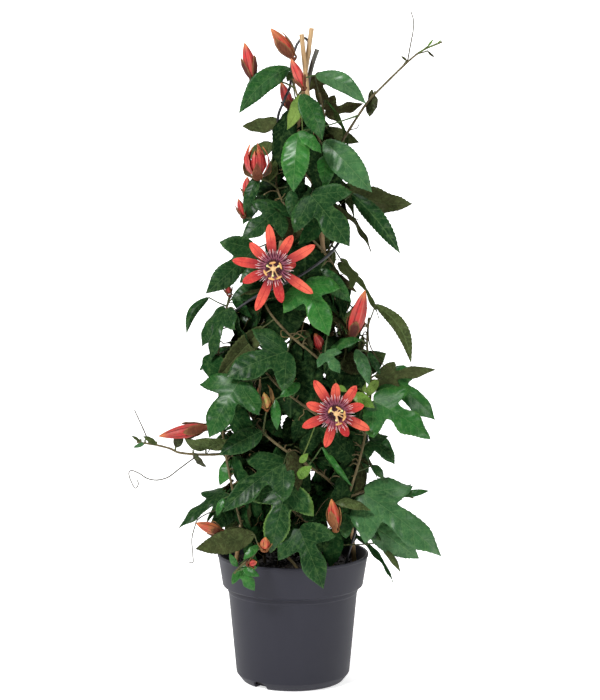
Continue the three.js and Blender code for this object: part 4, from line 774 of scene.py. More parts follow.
def leaf_finish(name, sizes):
    """Leaf skin: a pale midrib and lobe ribs, faint side veins, quilted and mottled between them."""
    finish = Finish(name)
    u, v, lobed = finish.place()
    mottle = finish.noise(48.0, detail=5.0)
    grain = finish.noise(210.0, detail=4.0)
    speckle = finish.noise(620.0, detail=2.0)
    cells = finish.cells(190.0)
    wander = (grain - 0.5) * 0.09
    across = finish.absolute(v)
    # Lines from the leaf's base to the tips of its side lobes.
    lobe = finish.absolute(u * 0.88 - across * 0.47 + wander * 0.3) + (1 - lobed) * 1.0
    along_lobe = u * 0.47 + across * 0.88
    midrib = finish.near(finish.absolute(v + wander * 0.15), 0.010)
    rib = finish.near(lobe, 0.010) * finish.near(finish.absolute(along_lobe - 0.3), 0.34)
    in_lobe = finish.math("GREATER_THAN", across, 0.2) * lobed
    middle = finish.wave((u - across * VEIN_SLANT + wander * 0.5) * VEINS_A_SIDE)
    outer = finish.wave((along_lobe - lobe * 0.8 + wander) * 7.5)
    branch = middle * (1 - in_lobe) + outer * in_lobe
    side = finish.near(branch, 0.07)
    ribs = finish.math("MAXIMUM", midrib, rib)
    veins = finish.clamp(finish.math("MAXIMUM", ribs, side * 0.6))
    tone = finish.tone()
    dullness = finish.sheen_share()
    dull = finish.over(dullness, 0.5, 12.0)
    light = finish.mix(0.36 - dull * 0.2, tone, sizes.vein_colour)
    deep = finish.mix(1.0, tone, sizes.leaf_shade, blend="MULTIPLY")
    # Lighter yellow-green flecks by noise: partly the leaf's own flecking, partly painted sheen.
    fleck_and_sheen = finish.mix(0.30, tone, sizes.leaf_fleck_and_sheen)
    body = finish.mix(finish.over(mottle, 0.32, 2.4), deep, tone)
    body = finish.mix(finish.over(grain, 0.5, 3.5) * 0.6, body, fleck_and_sheen)
    body = finish.mix(finish.near(cells, 0.05) * 0.28, body, light)
    pillow = finish.clamp(cells * 3.0) * 0.35 + finish.clamp(branch * 3.0) * 0.3
    finish.bump(pillow + mottle * 1.2 + grain * 0.5 + speckle * 0.08 - ribs * 0.4, 0.0013, 0.9)
    rough = finish.clamp(dullness + (mottle - 0.5) * 0.3 + speckle * 0.06)
    gloss = finish.clamp((0.56 - dullness) * 2.2 + (mottle - 0.5) * 0.6)
    return finish.set(Base_Color=finish.mix(veins * 0.5, body, light), Roughness=rough,
                      Specular_IOR_Level=0.0, Coat_Weight=gloss * 0.85, Coat_Roughness=0.31, Coat_IOR=1.45)


def skin_finish(name, low, high, roughness, streak=(1, 1, 1), scale=300.0, depth=0.0004):
    """A plain living or dry skin: two colours by noise, with fine relief."""
    finish = Finish(name)
    grain = finish.noise(scale, detail=4.0, stretch=streak)
    fine = finish.noise(scale * 4, detail=2.0, stretch=streak)
    colour = finish.mix(finish.over(grain, 0.3, 2.2), low, high)
    finish.bump(grain * 0.7 + fine * 0.3, depth, 0.8)
    return finish.set(Base_Color=finish.mix(1.0, colour, finish.tone(), blend="MULTIPLY"),
                      Roughness=roughness + fine * 0.15, Specular_IOR_Level=0.2)


def petal_finish(name, sizes):
    """Petal: red-orange, maroon at its base, streaked lengthwise, with deeper patches and lighter edges."""
    finish = Finish(name)
    u, v, back = finish.place()
    across = finish.absolute(v)
    streak = finish.wave(v * 70.0 + finish.noise(60.0) * 1.5)
    patch = finish.noise(95.0, detail=4.0)
    fine = finish.noise(420.0, detail=3.0)
    line = finish.near(streak, 0.20)
    body = finish.mix(finish.over(patch, 0.5, 6.0) * 0.8, finish.tone(), sizes.petal_deep)
    body = finish.mix(finish.over(fine, 0.5, 3.0) * 0.5, body, sizes.petal_edge)
    body = finish.mix(finish.near(0.115 - across, 0.03) * 0.5, body, sizes.petal_edge)
    body = finish.mix(back * 0.5, body, sizes.petal_edge)
    body = finish.mix(line * 0.65, body, sizes.petal_base)
    # Painted crease shade: the channel along the midrib is darkened towards maroon.
    body = finish.mix(finish.near(across, 0.012) * 0.6, body, sizes.petal_base)
    flame = finish.clamp((0.70 - u + line * 0.2 + (patch - 0.5) * 0.3) * 3.2)
    body = finish.mix(flame * 0.85, body, sizes.petal_base)
    body = finish.mix(finish.clamp((0.36 - u + line * 0.08) * 6.0), body, sizes.corona_dark)
    finish.bump(line * -0.5 + patch * 0.9 + fine * 0.3 - finish.near(across, 0.012) * 0.6, 0.0006, 0.9)
    return finish.set(Base_Color=body, Roughness=0.42 + patch * 0.2, Specular_IOR_Level=0.25)


def bud_finish(name, sizes):
    """Closed bud: ribbed red with darker furrows, paler keels and a golden tip."""
    finish = Finish(name)
    up, turn, _ = finish.place()
    ridge = finish.wave(turn * 5.0)
    patch = finish.noise(120.0, detail=4.0)
    fine = finish.noise(500.0, detail=3.0, stretch=(1, 1, 0.4))
    body = finish.mix(finish.over(patch, 0.4, 3.5), finish.tone(), sizes.petal_deep)
    body = finish.mix(finish.near(ridge, 0.10) * 0.55, body, sizes.bud_keel)
    body = finish.mix(finish.near(0.5 - ridge, 0.12) * 0.75, body, sizes.bud_furrow)
    body = finish.mix(finish.over(fine, 0.52, 3.0) * 0.4, body, sizes.bud_keel)
    body = finish.mix(finish.near(1 - up, 0.25) * 0.5, body, sizes.bud_tip)
    finish.bump(patch * 0.5 + fine * 0.3 - finish.near(0.5 - ridge, 0.1) * 0.8, 0.0008, 0.9)
    return finish.set(Base_Color=body, Roughness=0.38 + patch * 0.2, Specular_IOR_Level=0.3)


def corona_finish(name, sizes):
    """Filaments: maroon near the root, then pink, pale at the tips."""
    finish = Finish(name)
    reach, _, _ = finish.place()
    stops = ((0.0, sizes.corona_dark), (0.45, sizes.corona_dark), (0.56, sizes.filament_pink),
             (0.74, sizes.filament_pink), (0.88, sizes.filament_light), (1.0, sizes.filament_light))
    bands = finish.node("ShaderNodeValToRGB", {"stops": stops}, {"Fac": reach / CORONA_RADIUS})
    return finish.set(Base_Color=bands, Roughness=0.5)


def pot_finish(name, sizes):
    """Moulded anthracite plastic: satin, with very fine speckle and faint scuffs."""
    finish = Finish(name)
    speckle = finish.noise(1400.0, detail=2.0)
    scuff = finish.noise(35.0, detail=5.0, stretch=(1, 1, 0.25))
    colour = finish.mix(finish.over(scuff, 0.45, 2.0) * 0.35, sizes.pot_colour, sizes.pot_scuff)
    finish.bump(speckle * 0.5 + scuff * 0.3, 0.00012, 0.6)
    return finish.set(Base_Color=colour, Roughness=0.42 + scuff * 0.22, Specular_IOR_Level=0.2)


def cane_finish(name, low, high):
    """Split bamboo: long fibres, darker at the joints."""
    finish = Finish(name)
    up, _, _ = finish.place()
    fibre = finish.noise(900.0, detail=3.0, stretch=(1, 1, 0.02))
    stain = finish.noise(25.0, detail=3.0)
    joint = finish.near(finish.wave((up - CANE_NODE_SPACING * 0.6) / CANE_NODE_SPACING), 0.02)
    colour = finish.mix(finish.clamp((fibre - 0.3) * 1.6 * stain * 1.6), low, high)
    finish.bump(fibre, 0.0003, 0.8)
    return finish.set(Base_Color=finish.mix(joint * 0.6, colour, low), Roughness=0.45 + fibre * 0.2)


def wire_finish(name, sizes):
    """Black plastic coating with a faint haze."""
    finish = Finish(name)
    haze = finish.noise(90.0, detail=3.0)
    finish.bump(finish.noise(900.0), 0.00006, 0.5)
    return finish.set(Base_Color=finish.mix(haze * 0.5, sizes.wire_colour, sizes.wire_haze),
                      Roughness=0.24 + haze * 0.2)


def compost_finish(name, sizes):
    """Damp peat: dark, with drier fibres and a rough skin."""
    finish = Finish(name)
    coarse = finish.noise(260.0, detail=5.0)
    fine = finish.noise(1500.0, detail=2.0)
    colour = finish.mix(finish.over(coarse, 0.35, 2.0), sizes.compost_dark, sizes.compost_light)
    finish.bump(coarse + fine * 0.4, 0.0012, 1.0)
    return finish.set(Base_Color=finish.mix(1.0, colour, finish.tone(), blend="MULTIPLY"), Roughness=0.9)


# ---------------- the plant's growth, in mm


def winding_route(front_height, top):
    """Route of a winding stem: straight down in the soil, then round the axis at the shared pitch."""
    count = round((top - SOIL_TOP) / STEM_RISE)
    heights = [SOIL_TOP + (top - SOIL_TOP) * i / count for i in range(count + 1)]
    points = [at_turn(-90 - 360 * (z - front_height) / STEM_PITCH, along(STEM_DISTANCES, z), z)
              for z in heights]
    return [(*points[0][:2], SOIL_TOP - ROOT_DEPTH), *points]


class Stem:
    """One stem: its vine, its smooth route and the spots that stalks may spring from."""

    def __init__(self, vine, points, radius, steps):
        self.vine, self.radius = vine, radius
        self.route = Route(points)
        joints = self.route.spaced(steps)
        spots = [low.lerp(high, k / SPOTS_A_STEP) for low, high in zip(joints, joints[1:])
                 for k in range(SPOTS_A_STEP)]
        self.spots = np.array([spot for spot in spots if spot.z > SOIL_TOP + 4])
        self.smooth = np.array(self.route.spaced(steps * 8))


def grow_stems():
    """Every stem and shoot, in the order in which stalks look for them."""
    stems = [Stem(vine, winding_route(front, top), STEM_RADIUS, STEM_STEPS)
             for vine, front, top in WINDING_STEMS]
    stems += [Stem(vine, route, STEM_RADIUS, STEM_STEPS // 2) for vine, route in OUTER_STEMS]
    for vine, route in SHOOTS:
        first = nearest_spot([stem.spots for stem in stems if stem.vine == vine], route[0])
        stems.append(Stem(vine, [first, *route[1:]], SHOOT_RADIUS, SHOOT_STEPS))
    return stems


def nearest_spot(groups, point):
    """The nearest to a point of some groups of spots."""
    spots = np.concatenate(groups)
    return Vector(spots[np.argmin(np.linalg.norm(spots - np.array(point), axis=1))])


def on_stem(stems, vine, point):
    """The nearest place on a vine's smooth stems to a point."""
    return nearest_spot([stem.smooth for stem in stems if stem.vine == vine], point)


def stalk_starts(stems, point):
    """Where a stalk to a point may start, nearest first."""
    starts = []
    for stem in stems:
        gap = np.linalg.norm(stem.spots - np.array(point), axis=1)
        nearest = int(np.argmin(np.abs(gap - STALK_LEAST) + np.where(stem.spots[:, 2] > point[2], 3, 0)))
        for shift in STALK_SHIFTS:
            i = nearest + shift
            if 0 <= i < len(stem.spots):
                starts.append((gap[i] + abs(shift) * 0.3, stem.vine, Vector(stem.spots[i])))
    return sorted(starts, key=lambda start: start[0])[:STALK_CHOICES]


def read_node(name):
    """Points of a CAD node in mm, and a tree that finds the nearest of them."""
    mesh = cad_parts[name].data
    points = np.zeros(len(mesh.vertices) * 3)
    mesh.vertices.foreach_get("co", points)
    points = points.reshape(-1, 3) / MM
    tree = kdtree.KDTree(len(points))
    for i, point in enumerate(points):
        tree.insert(point, i)
    tree.balance()
    return points, tree


def nearest_vine(nodes, point):
    """The vine whose packed points come nearest to a point."""
    return min(nodes, key=lambda vine: nodes[vine][1].find(point)[2])


def bends():
    """Ways that a leaf is bent to clear its neighbours, the least first: roll, swing and depth."""
    ways = [(roll, swing, depth) for roll in BEND_ROLLS for swing in BEND_SWINGS for depth in BEND_DEPTHS]
    return sorted(ways, key=lambda way: abs(way[0]) * 0.7 + abs(way[1]) + abs(way[2]))


class Leaf:
    """A leaf as the table or the rule gives it."""

    def __init__(self, kind, base, tip, facing, out, wide, roll, look, bend=0.0):
        self.kind, self.base, self.tip, self.facing, self.out = kind, Vector(base), Vector(tip), facing, out
        self.wide, self.roll, self.look, self.bend = wide, roll, look, bend


def front_leaf(row, bend):
    """A leaf of the table."""
    kind, bx, by, bz, tx, ty, tz, wide, roll, side, look = row
    if kind == "simple" and dist((bx, by, bz), (tx, ty, tz)) < SMALL_LEAF:
        kind = "small"
    facing = Vector((max(-0.5, min(0.5, bx * 0.005)), -1, 0.35)) * side
    return Leaf(kind, (bx, by, bz), (tx, ty, tz), facing, Vector((0, -1, 0)), wide, roll, look, bend)


def rule_leaf(index, draw):
    """A leaf of the back, the sides or the inside, hanging outwards from the stems."""
    height = RULE_LOW + (RULE_HIGH - RULE_LOW) * (index + draw()) / RULE_LEAVES
    angle = index * GOLDEN_ANGLE % 360
    rule = INNER_LEAF if abs((angle + 90 + 180) % 360 - 180) < FRONT_SECTOR else OUTER_LEAF
    radial = spoke(radians(angle))
    length = rule["length"] + LENGTH_SPREAD * draw()
    start = along(LEAF_DISTANCES, height) * rule["from"]
    reach = min(length * REACH_SHARE, along(LEAF_REACHES, height) - start) * rule["reach"]
    drop = sqrt(length**2 - reach**2) * (1 if draw() < HANGING_SHARE else -0.5)
    base = Vector((axis_x(height) + radial.x * start, radial.y * start, height))
    tip = base + radial * reach + Vector((-radial.y, radial.x, 0)) * ((draw() - 0.5) * TIP_SWING)
    tip.z -= drop
    kind = "threefold" if draw() < rule["threefold"] else "small"
    wide = rule["wide"] * min(1, along(LEAF_DISTANCES, height) / FULL_WIDTH_DISTANCE) + WIDTH_SPREAD * draw()
    roll = ROLL_SPREAD * (draw() - 0.5)
    # Leaves on the inside, behind the front ones, take the painted-shade look.
    look = "shade" if rule is INNER_LEAF else RULE_LOOKS[index % len(RULE_LOOKS)]
    return Leaf(kind, base, tip, Vector((radial.x, radial.y, 0.6)), radial, wide, roll, look)


def settle(leaf, ways, nodes, stems):
    """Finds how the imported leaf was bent, and on which vine and stalk it grows. None if it has no place."""
    for roll, swing, depth in ways:
        base = leaf.base - leaf.out * depth
        tip = leaf.tip - leaf.out * (depth + swing)
        _, a, n, c = blade_frame(base, tip, leaf.facing, leaf.roll + roll)
        marks = (tip + n * BLADE_THICKNESS / 2, tip - n * BLADE_THICKNESS / 2, base - n * STALK_RADIUS * 0.8)
        for vine, (points, tree) in nodes.items():
            if sum(tree.find(mark)[2] < MATCH for mark in marks) >= 2:
                leaf.base, leaf.tip, leaf.roll, leaf.vine = base, tip, leaf.roll + roll, vine
                leaf.spot = stalk_spot(stems, vine, points, base, a, n, c)
                return leaf
    return None


def stalk_spot(stems, vine, points, base, a, n, c):
    """The spot on its vine that a leaf's packed stalk comes from, by how near its edges packed points lie."""
    near = points[np.linalg.norm(points - np.array(base), axis=1) < STALK_LOOK]
    best = (1e9, None)
    for cost, stem_vine, spot in stalk_starts(stems, base):
        if stem_vine != vine:
            continue
        turn = a.rotation_difference((base - spot).normalized())
        miss = 0
        for across, high in ((STALK_RADIUS, 0.5), (-STALK_RADIUS, 0.5), (0, -0.8)):
            edge = c * across + n * high * STALK_RADIUS
            start, end = spot + turn @ edge, base + edge
            line = np.array(end - start)
            share = (near - np.array(start)) @ line / (line @ line)
            gap = np.linalg.norm(near - np.array(start) - share[:, None] * line, axis=1)
            gap = gap[(share > -0.02) & (share < 0.9)]
            miss += min(gap.min() if len(gap) else MOST_MISS, MOST_MISS)
        best = min(best, (round(miss, 2) + cost * 1e-4, tuple(spot)))
    return Vector(best[1]) if best[1] else on_stem(stems, vine, base)


# ---------------- leaf blades

FOLDED_WIDTH = 0.55
# Half outlines of the fine blades in spans that meet in sharp points. Each point gives its place along and
# across the blade, where it joins the midrib, and how large the teeth are there.
FINE_OUTLINES = {
    "lobed": (
        ((0, 0, 0, 0), (-0.05, 0.1, 0.005, 0), (-0.045, 0.2, 0.015, 1), (0.0, 0.33, 0.04, 1),
         (0.07, 0.44, 0.07, 1), (0.18, 0.52, 0.1, 1), (0.33, 0.575, 0.15, 0.5)),
        ((0.33, 0.575, 0.15, 0.5), (0.345, 0.43, 0.2, 1), (0.33, 0.3, 0.25, 1), (0.325, 0.185, 0.31, 0.4),
         (0.4, 0.175, 0.37, 0.8), (0.5, 0.21, 0.44, 1), (0.62, 0.23, 0.55, 1), (0.75, 0.19, 0.7, 1),
         (0.88, 0.1, 0.85, 1), (1.01, 0, 1, 0)),
    ),
    "threefold": (
        ((0, 0, 0, 0), (-0.05, 0.1, 0.005, 0), (-0.04, 0.22, 0.02, 1), (0.05, 0.42, 0.07, 1),
         (0.16, 0.51, 0.1, 1), (0.3, 0.575, 0.14, 0.5)),
        ((0.3, 0.575, 0.14, 0.5), (0.335, 0.42, 0.2, 1), (0.33, 0.28, 0.26, 1), (0.335, 0.18, 0.32, 0.4),
         (0.45, 0.185, 0.42, 1), (0.62, 0.2, 0.56, 1), (0.8, 0.15, 0.75, 1), (0.91, 0.07, 0.88, 1),
         (1.01, 0, 1, 0)),
    ),
    "simple": (
        ((0, 0, 0, 0), (0.01, 0.05, 0.01, 0), (0.1, 0.13, 0.07, 1), (0.25, 0.19, 0.2, 1),
         (0.42, 0.212, 0.36, 1), (0.6, 0.19, 0.54, 1), (0.78, 0.13, 0.73, 1), (0.91, 0.055, 0.88, 1),
         (1.0, 0, 1, 0)),
    ),
    "petal": (
        ((0, 0.024, 0, 0), (0.14, 0.055, 0.14, 0), (0.3, 0.09, 0.3, 0), (0.5, 0.107, 0.5, 0),
         (0.7, 0.103, 0.7, 0), (0.86, 0.078, 0.86, 0), (0.95, 0.042, 0.95, 0), (1.0, 0, 1, 0)),
    ),
    "bract": (
        ((0, 0.06, 0, 0), (0.12, 0.13, 0.12, 0), (0.3, 0.195, 0.3, 0), (0.5, 0.205, 0.5, 0),
         (0.7, 0.15, 0.7, 0.6), (0.87, 0.07, 0.87, 0.6), (1.0, 0, 1, 0)),
    ),
}
FINE_OUTLINES["small"] = FINE_OUTLINES["simple"]
FINE_OUTLINES["folded"] = [[(u, v * FOLDED_WIDTH, *rest) for u, v, *rest in span]
                           for span in FINE_OUTLINES["simple"]]


def fine_outline(kind, samples, teeth, tooth_depth):
    """Half outline of a blade as rows of along, across and midrib place, with teeth between sharp points."""
    spans = [np.array(span) for span in FINE_OUTLINES[kind]]
    lengths = [np.linalg.norm(np.diff(span[:, :2], axis=0), axis=1).sum() for span in spans]
    outline = []
    for span, length in zip(spans, lengths):
        count = max(4, round(samples * length / sum(lengths)))
        route = Route([(u, v, 0) for u, v in span[:, :2]])
        points = np.array(route.spaced(count))[:, :2]
        knots = np.interp(np.linspace(0, 1, len(span)), route.shares, route.lengths) / route.lengths[-1]
        share = np.linspace(0, 1, count + 1)
        anchor = np.interp(share, knots, span[:, 2])
        tooth = np.interp(share, knots, span[:, 3])
        ahead = np.gradient(points, axis=0)
        ahead /= np.linalg.norm(ahead, axis=1)[:, None] + 1e-9
        outwards = np.stack([-ahead[:, 1], ahead[:, 0]], axis=1)
        if outwards[len(outwards) // 2, 1] < 0 and span is spans[-1]:
            outwards = -outwards
        cycle = (share * max(2, round(teeth * length / sum(lengths)))) % 1.0
        saw = np.where(cycle < 0.7, cycle / 0.7, (1 - cycle) / 0.3) - 0.5
        points = points + outwards * (saw * tooth * tooth_depth * np.sin(np.pi * share) ** 0.3)[:, None]
        outline.append(np.column_stack([points, anchor])[:-1])
    outline.append(spans[-1][-1:, :3])
    return np.concatenate(outline)


def add_blade(shape, kind, base, tip, facing, wide=1.0, roll=0.0, *, tone, under, rim=None, samples, rings=5,
              wave, phase, thickness=FINE_THICKNESS, teeth=0, tooth_depth=0.0, dish=0.0, curl=0.0, flag=0.0,
              bend=0.0):
    """Adds a fine closed blade: its outline and folds follow the solid's, with waves along its edge."""
    base = Vector(base)
    length, a, n, c = blade_frame(base, Vector(tip), Vector(facing), roll)
    arch, fold = BLADES[kind]
    outline = fine_outline(kind, samples, teeth, tooth_depth)
    count = len(outline)
    shares = np.linspace(0, 1, rings + 1)
    u = outline[:, None, 2] + (outline[:, None, 0] - outline[:, None, 2]) * shares[None, :]
    v = outline[:, None, 1] * shares[None, :]
    points, maps, tones = [], [], []
    a, n, c, origin = (np.array(vector) for vector in (a, n, c, base))
    for side in (1, -1):
        lift = arch * 4 * u * (1 - u) - fold * (np.sqrt(v * v + 0.0009) - 0.03)
        lift += wave * shares[None, :] ** 2 * np.sin(phase + side + u * 17) * (0.4 + v * 2)
        pillow = np.abs(np.sin(np.pi * VEINS_A_SIDE * (u - np.abs(v) * VEIN_SLANT))) - 0.6
        lift += dish * pillow * np.sin(np.pi * shares)[None, :] * np.sin(np.pi * np.clip(u, 0, 1))
        lift -= curl * np.clip(u - 0.6, 0, 1) ** 2 * 4
        sway = bend * np.sin(np.pi * np.clip(u, 0, 1))
        surface = (origin + a * (u[..., None] * length) + c * ((side * v * wide + sway)[..., None] * length)
                   + n * (lift[..., None] * length))
        rim_share = (np.clip((shares - 0.8) * 5, 0, 1)[None, :] * np.ones_like(u))[..., None] * 0.75
        taper = np.where(shares < 1, 1.0, 0.35)[None, :, None]
        for face, colour in ((1, tone), (-1, under)):
            sheet = surface + n * (face * thickness / 2 * taper)
            points.append(sheet.reshape(-1, 3))
            maps.append(np.stack([u, side * v, np.full_like(u, flag)], -1).reshape(-1, 3))
            shade = np.array(colour) * (1 - rim_share) + np.array(rim or colour) * rim_share
            tones.append(shade.reshape(-1, 4))
    tones, maps = ([tuple(row) for row in np.concatenate(rows)] for rows in (tones, maps))
    shape.add(np.concatenate(points), blade_faces(count, rings), tone=tones, maps=maps)


def blade_faces(count, rings):
    """Faces over a blade's four sheets, the top and underside of both halves, and round its edge."""
    width = rings + 1
    sheet_size = count * width
    faces = []
    for sheet in range(4):
        for quad in grid_faces(count, width):
            face = [sheet * sheet_size + p for p in quad]
            faces.append(face if sheet in (1, 2) else face[::-1])
    for side in (0, 1):
        top, bottom = side * 2 * sheet_size, (side * 2 + 1) * sheet_size
        for i in range(count - 1):
            p, q = i * width + rings, (i + 1) * width + rings
            face = [top + p, top + q, bottom + q, bottom + p]
            faces.append(face[::-1] if side else face)
    return faces


# ---------------- the pieces


def rounded(profile, radius, steps=4):
    """A profile with its corners rounded, apart from its ends on the axis."""
    smooth = [profile[0]]
    for before, corner, after in zip(profile, profile[1:], profile[2:]):
        p, q, r = (np.array(point, float) for point in (before, corner, after))
        cut = min(radius, np.linalg.norm(p - q) * 0.45, np.linalg.norm(r - q) * 0.45)
        start = q + (p - q) / np.linalg.norm(p - q) * cut
        end = q + (r - q) / np.linalg.norm(r - q) * cut
        for t in np.linspace(0, 1, steps):
            smooth.append(tuple((1 - t) ** 2 * start + 2 * (1 - t) * t * q + t * t * end))
    return smooth + [profile[-1]]


def crisp(made, degrees=32):
    """Shades the piece smoothly but for its edges sharper than an angle."""
    made.data.set_sharp_from_angle(angle=radians(degrees))


def make_pot(sizes):
    """The lathed pot with its drain notches cut out of its foot."""
    collar_foot = POT_HEIGHT - POT_COLLAR_HEIGHT
    profile = [
        (0, 0), (POT_BASE_RADIUS, 0), (POT_BODY_FOOT_RADIUS, POT_BASE_CHAMFER),
        (POT_BODY_TOP_RADIUS - 0.4, collar_foot - 8), (POT_BODY_TOP_RADIUS + 0.5, collar_foot - 7),
        (POT_BODY_TOP_RADIUS + 0.5, collar_foot - POT_WALL),
        (POT_COLLAR_FOOT_RADIUS, collar_foot),
        (POT_RIM_RADIUS - 0.8, POT_HEIGHT - 3.4), (POT_RIM_RADIUS, POT_HEIGHT - 3),
        (POT_RIM_RADIUS, POT_HEIGHT), (POT_RIM_RADIUS - POT_WALL, POT_HEIGHT),
        (POT_COLLAR_FOOT_RADIUS - POT_WALL, collar_foot + POT_WALL),
        (POT_BODY_TOP_RADIUS - POT_WALL, collar_foot),
        (POT_BASE_RADIUS, POT_FLOOR), (0, POT_FLOOR),
    ]
    shape = Shape()
    shape.lathe(rounded(profile, POT_ROUNDING), POT_SEGMENTS)
    pot = shape.build("pot_body", [pot_finish("pot_plastic", sizes)], "pot_plastic", "pot")
    knife = bpy.data.meshes.new("notches")
    notches = drain_notches()
    knife.from_pydata([Vector(p) * MM for p in notches.points], [], notches.faces)
    blade = linked("notches", knife)
    cut = pot.modifiers.new("notches", "BOOLEAN")
    cut.object, cut.operation, cut.solver = blade, "DIFFERENCE", "EXACT"
    bpy.context.view_layer.update()
    made = bpy.data.meshes.new_from_object(pot.evaluated_get(bpy.context.evaluated_depsgraph_get()))
    pot.modifiers.clear()
    pot.data = made
    bpy.data.objects.remove(blade)
    crisp(pot)


def drain_notches():
    """Arched blocks that cut the notches through the foot of the pot."""
    shape = Shape()
    for i in range(DRAIN_NOTCHES):
        out = spoke(radians(DRAIN_NOTCH_TURN + 360 * i / DRAIN_NOTCHES))
        across = Vector((-out.y, out.x, 0))
        arch = [(-DRAIN_NOTCH_WIDTH / 2, -1), (DRAIN_NOTCH_WIDTH / 2, -1)]
        for t in np.linspace(0, pi, 15):
            height = DRAIN_NOTCH_HEIGHT * (0.45 + 0.7 * sin(t))
            arch.append((cos(t) * DRAIN_NOTCH_WIDTH / 2, height))
        rings = [out * distance + across * x + raised(z)
                 for distance in (POT_BASE_RADIUS - 9, POT_BASE_RADIUS + 12) for x, z in arch]
        shape.add(rings, tube_faces(2, len(arch)))
    return shape


def make_soil(sizes):
    """Peat compost: a lumpy top with crumbs and a few grains of perlite."""
    collar_foot = POT_HEIGHT - POT_COLLAR_HEIGHT
    slope = (POT_RIM_RADIUS - POT_COLLAR_FOOT_RADIUS) / POT_COLLAR_HEIGHT
    edge = POT_COLLAR_FOOT_RADIUS - POT_WALL + slope * (SOIL_TOP - collar_foot - POT_WALL) - GAP
    profile = [(0, POT_FLOOR + 1), (POT_BASE_RADIUS - 2, POT_FLOOR + 1),
               (POT_BODY_TOP_RADIUS - POT_WALL - 2, collar_foot),
               (POT_COLLAR_FOOT_RADIUS - POT_WALL - 2, collar_foot + POT_WALL + 1),
               (edge - GAP, SOIL_TOP - 1)]
    for share in np.linspace(0.99, 0.02, SOIL_RINGS):
        profile.append(((edge - GAP) * share, SOIL_TOP + SOIL_RISE * (1 - share)))
    shape = Shape()
    shape.lathe(profile + [(0, SOIL_TOP + SOIL_RISE)], SOIL_SEGMENTS)
    draw = np.random.default_rng(SEED)
    shape.points = lumpy_top(np.array(shape.points), edge, draw)
    for _ in range(SOIL_CRUMBS):
        turn, reach = draw.uniform(0, 2 * pi), edge * sqrt(draw.uniform(0, 0.96))
        x, y = reach * cos(turn), reach * sin(turn)
        z = SOIL_TOP + SOIL_RISE * (1 - reach / edge) + draw.uniform(-0.4, 0.8)
        size = draw.uniform(*CRUMB_SIZES)
        tone = PERLITE_TONE if draw.uniform() < PERLITE_SHARE else (1, 1, 1, 1)
        add_crumb(shape, Vector((x, y, z)), size, draw, tone)
    soil = shape.build("soil_top", [compost_finish("compost", sizes)], "compost", "soil")
    crisp(soil, 60)


def lumpy_top(points, edge, draw):
    """The soil's points with drawn lumps and grain on its top."""
    spans = ((-edge, edge), (-edge, edge), LUMP_SIZES, LUMP_HEIGHTS)
    lumps = [[draw.uniform(*span) for span in spans] for _ in range(SOIL_LUMPS)]
    top = points[:, 2] > SOIL_TOP - 2
    for x, y, size, height in lumps:
        gap = ((points[:, 0] - x) ** 2 + (points[:, 1] - y) ** 2) / size**2
        points[:, 2] += np.where(top, height * np.exp(-gap) * 0.55, 0)
    grain = np.minimum(points[:, 2] + draw.normal(0, 0.25, len(points)), SOIL_TOP + 5)
    points[:, 2] = np.where(top, grain, points[:, 2])
    return [tuple(p) for p in points]


def add_crumb(shape, centre, size, draw, tone):
    """A rough lump: an eight-faced body with drawn corners."""
    ways = [(1, 0, 0), (0, 1, 0), (-1, 0, 0), (0, -1, 0), (0, 0, 1), (0, 0, -1)]
    turn = Quaternion(Vector(draw.normal(0, 1, 3)).normalized(), draw.uniform(0, pi))
    corners = [centre + turn @ (Vector(way) * size * draw.uniform(0.5, 1.25)) for way in ways]
    faces = [[i, (i + 1) % 4, 4] for i in range(4)] + [[(i + 1) % 4, i, 5] for i in range(4)]
    shape.add(corners, faces, tone=tone)


def add_cane(shape, line, length, steps, wobble):
    """A bamboo cane along a line: swollen joints, and a dark disc on its top that is painted shade for its
    hollow.
    """
    heights = np.linspace(0, length, steps)
    radii = []
    for z in heights:
        half = CANE_NODE_SPACING / 2
        joint = abs((z - CANE_NODE_SPACING * 0.6 + half) % CANE_NODE_SPACING - half)
        swell = CANE_NODE_SWELL * exp(-((joint / 2.6) ** 2)) if 20 < z < length - 20 else 0
        radii.append(CANE_RADIUS + swell + wobble * sin(z * 0.031))
    points = [line(z) for z in heights]
    shape.tube(points, radii, sides=18)
    down = (points[-2] - points[-1]).normalized()
    # Painted shade: a darker disc on the cut end stands for the shadow inside the hollow cane.
    disc = [points[-1] + down * 0.2, points[-1] - down * 0.05]
    shape.tube(disc, [CANE_RADIUS * 0.55] * 2, sides=12, finish=1)


def make_canes(sizes):
    """Two pale canes and an old grey one."""
    # The finish of the painted shade in the canes' hollow tops.
    hollow_shade = skin_finish("cane_hollow_shade", sizes.old_cane, sizes.old_cane_light, 0.9)
    pale = cane_finish("bamboo", sizes.cane_dark, sizes.cane_light)
    for name, foot, head in CANES:
        foot = Vector(foot)
        way = Vector(head) - foot
        length = way.length
        way.normalize()
        shape = Shape()
        add_cane(shape, lambda z: foot + way * z, length, CANE_STEPS, 0.06)
        crisp(shape.build(name + "_bamboo", [pale, hollow_shade], "bamboo", name), 50)
    route = Route(OLD_CANE)
    points = route.spaced(CANE_STEPS)
    length = route.lengths[-1]
    shape = Shape()
    add_cane(shape, lambda z: points[round(z / length * CANE_STEPS)], length, CANE_STEPS + 1, 0.12)
    aged = cane_finish("old_bamboo", sizes.old_cane, sizes.old_cane_light)
    crisp(shape.build("cane_3_bamboo", [aged, hollow_shade], "old_bamboo", "cane_3"), 50)


def make_wire(sizes):
    """The coated wire that winds round the canes and ends in a loop."""
    path = [at_turn(*turn) for turn in WIRE_TURNS] + list(WIRE_LOOP)
    shape = Shape()
    shape.strand(path, 500, WIRE_RADIUS, WIRE_RADIUS, sides=14)
    shape.build("wire_coil", [wire_finish("wire_coating", sizes)], "wire_coating", "wire_spiral")


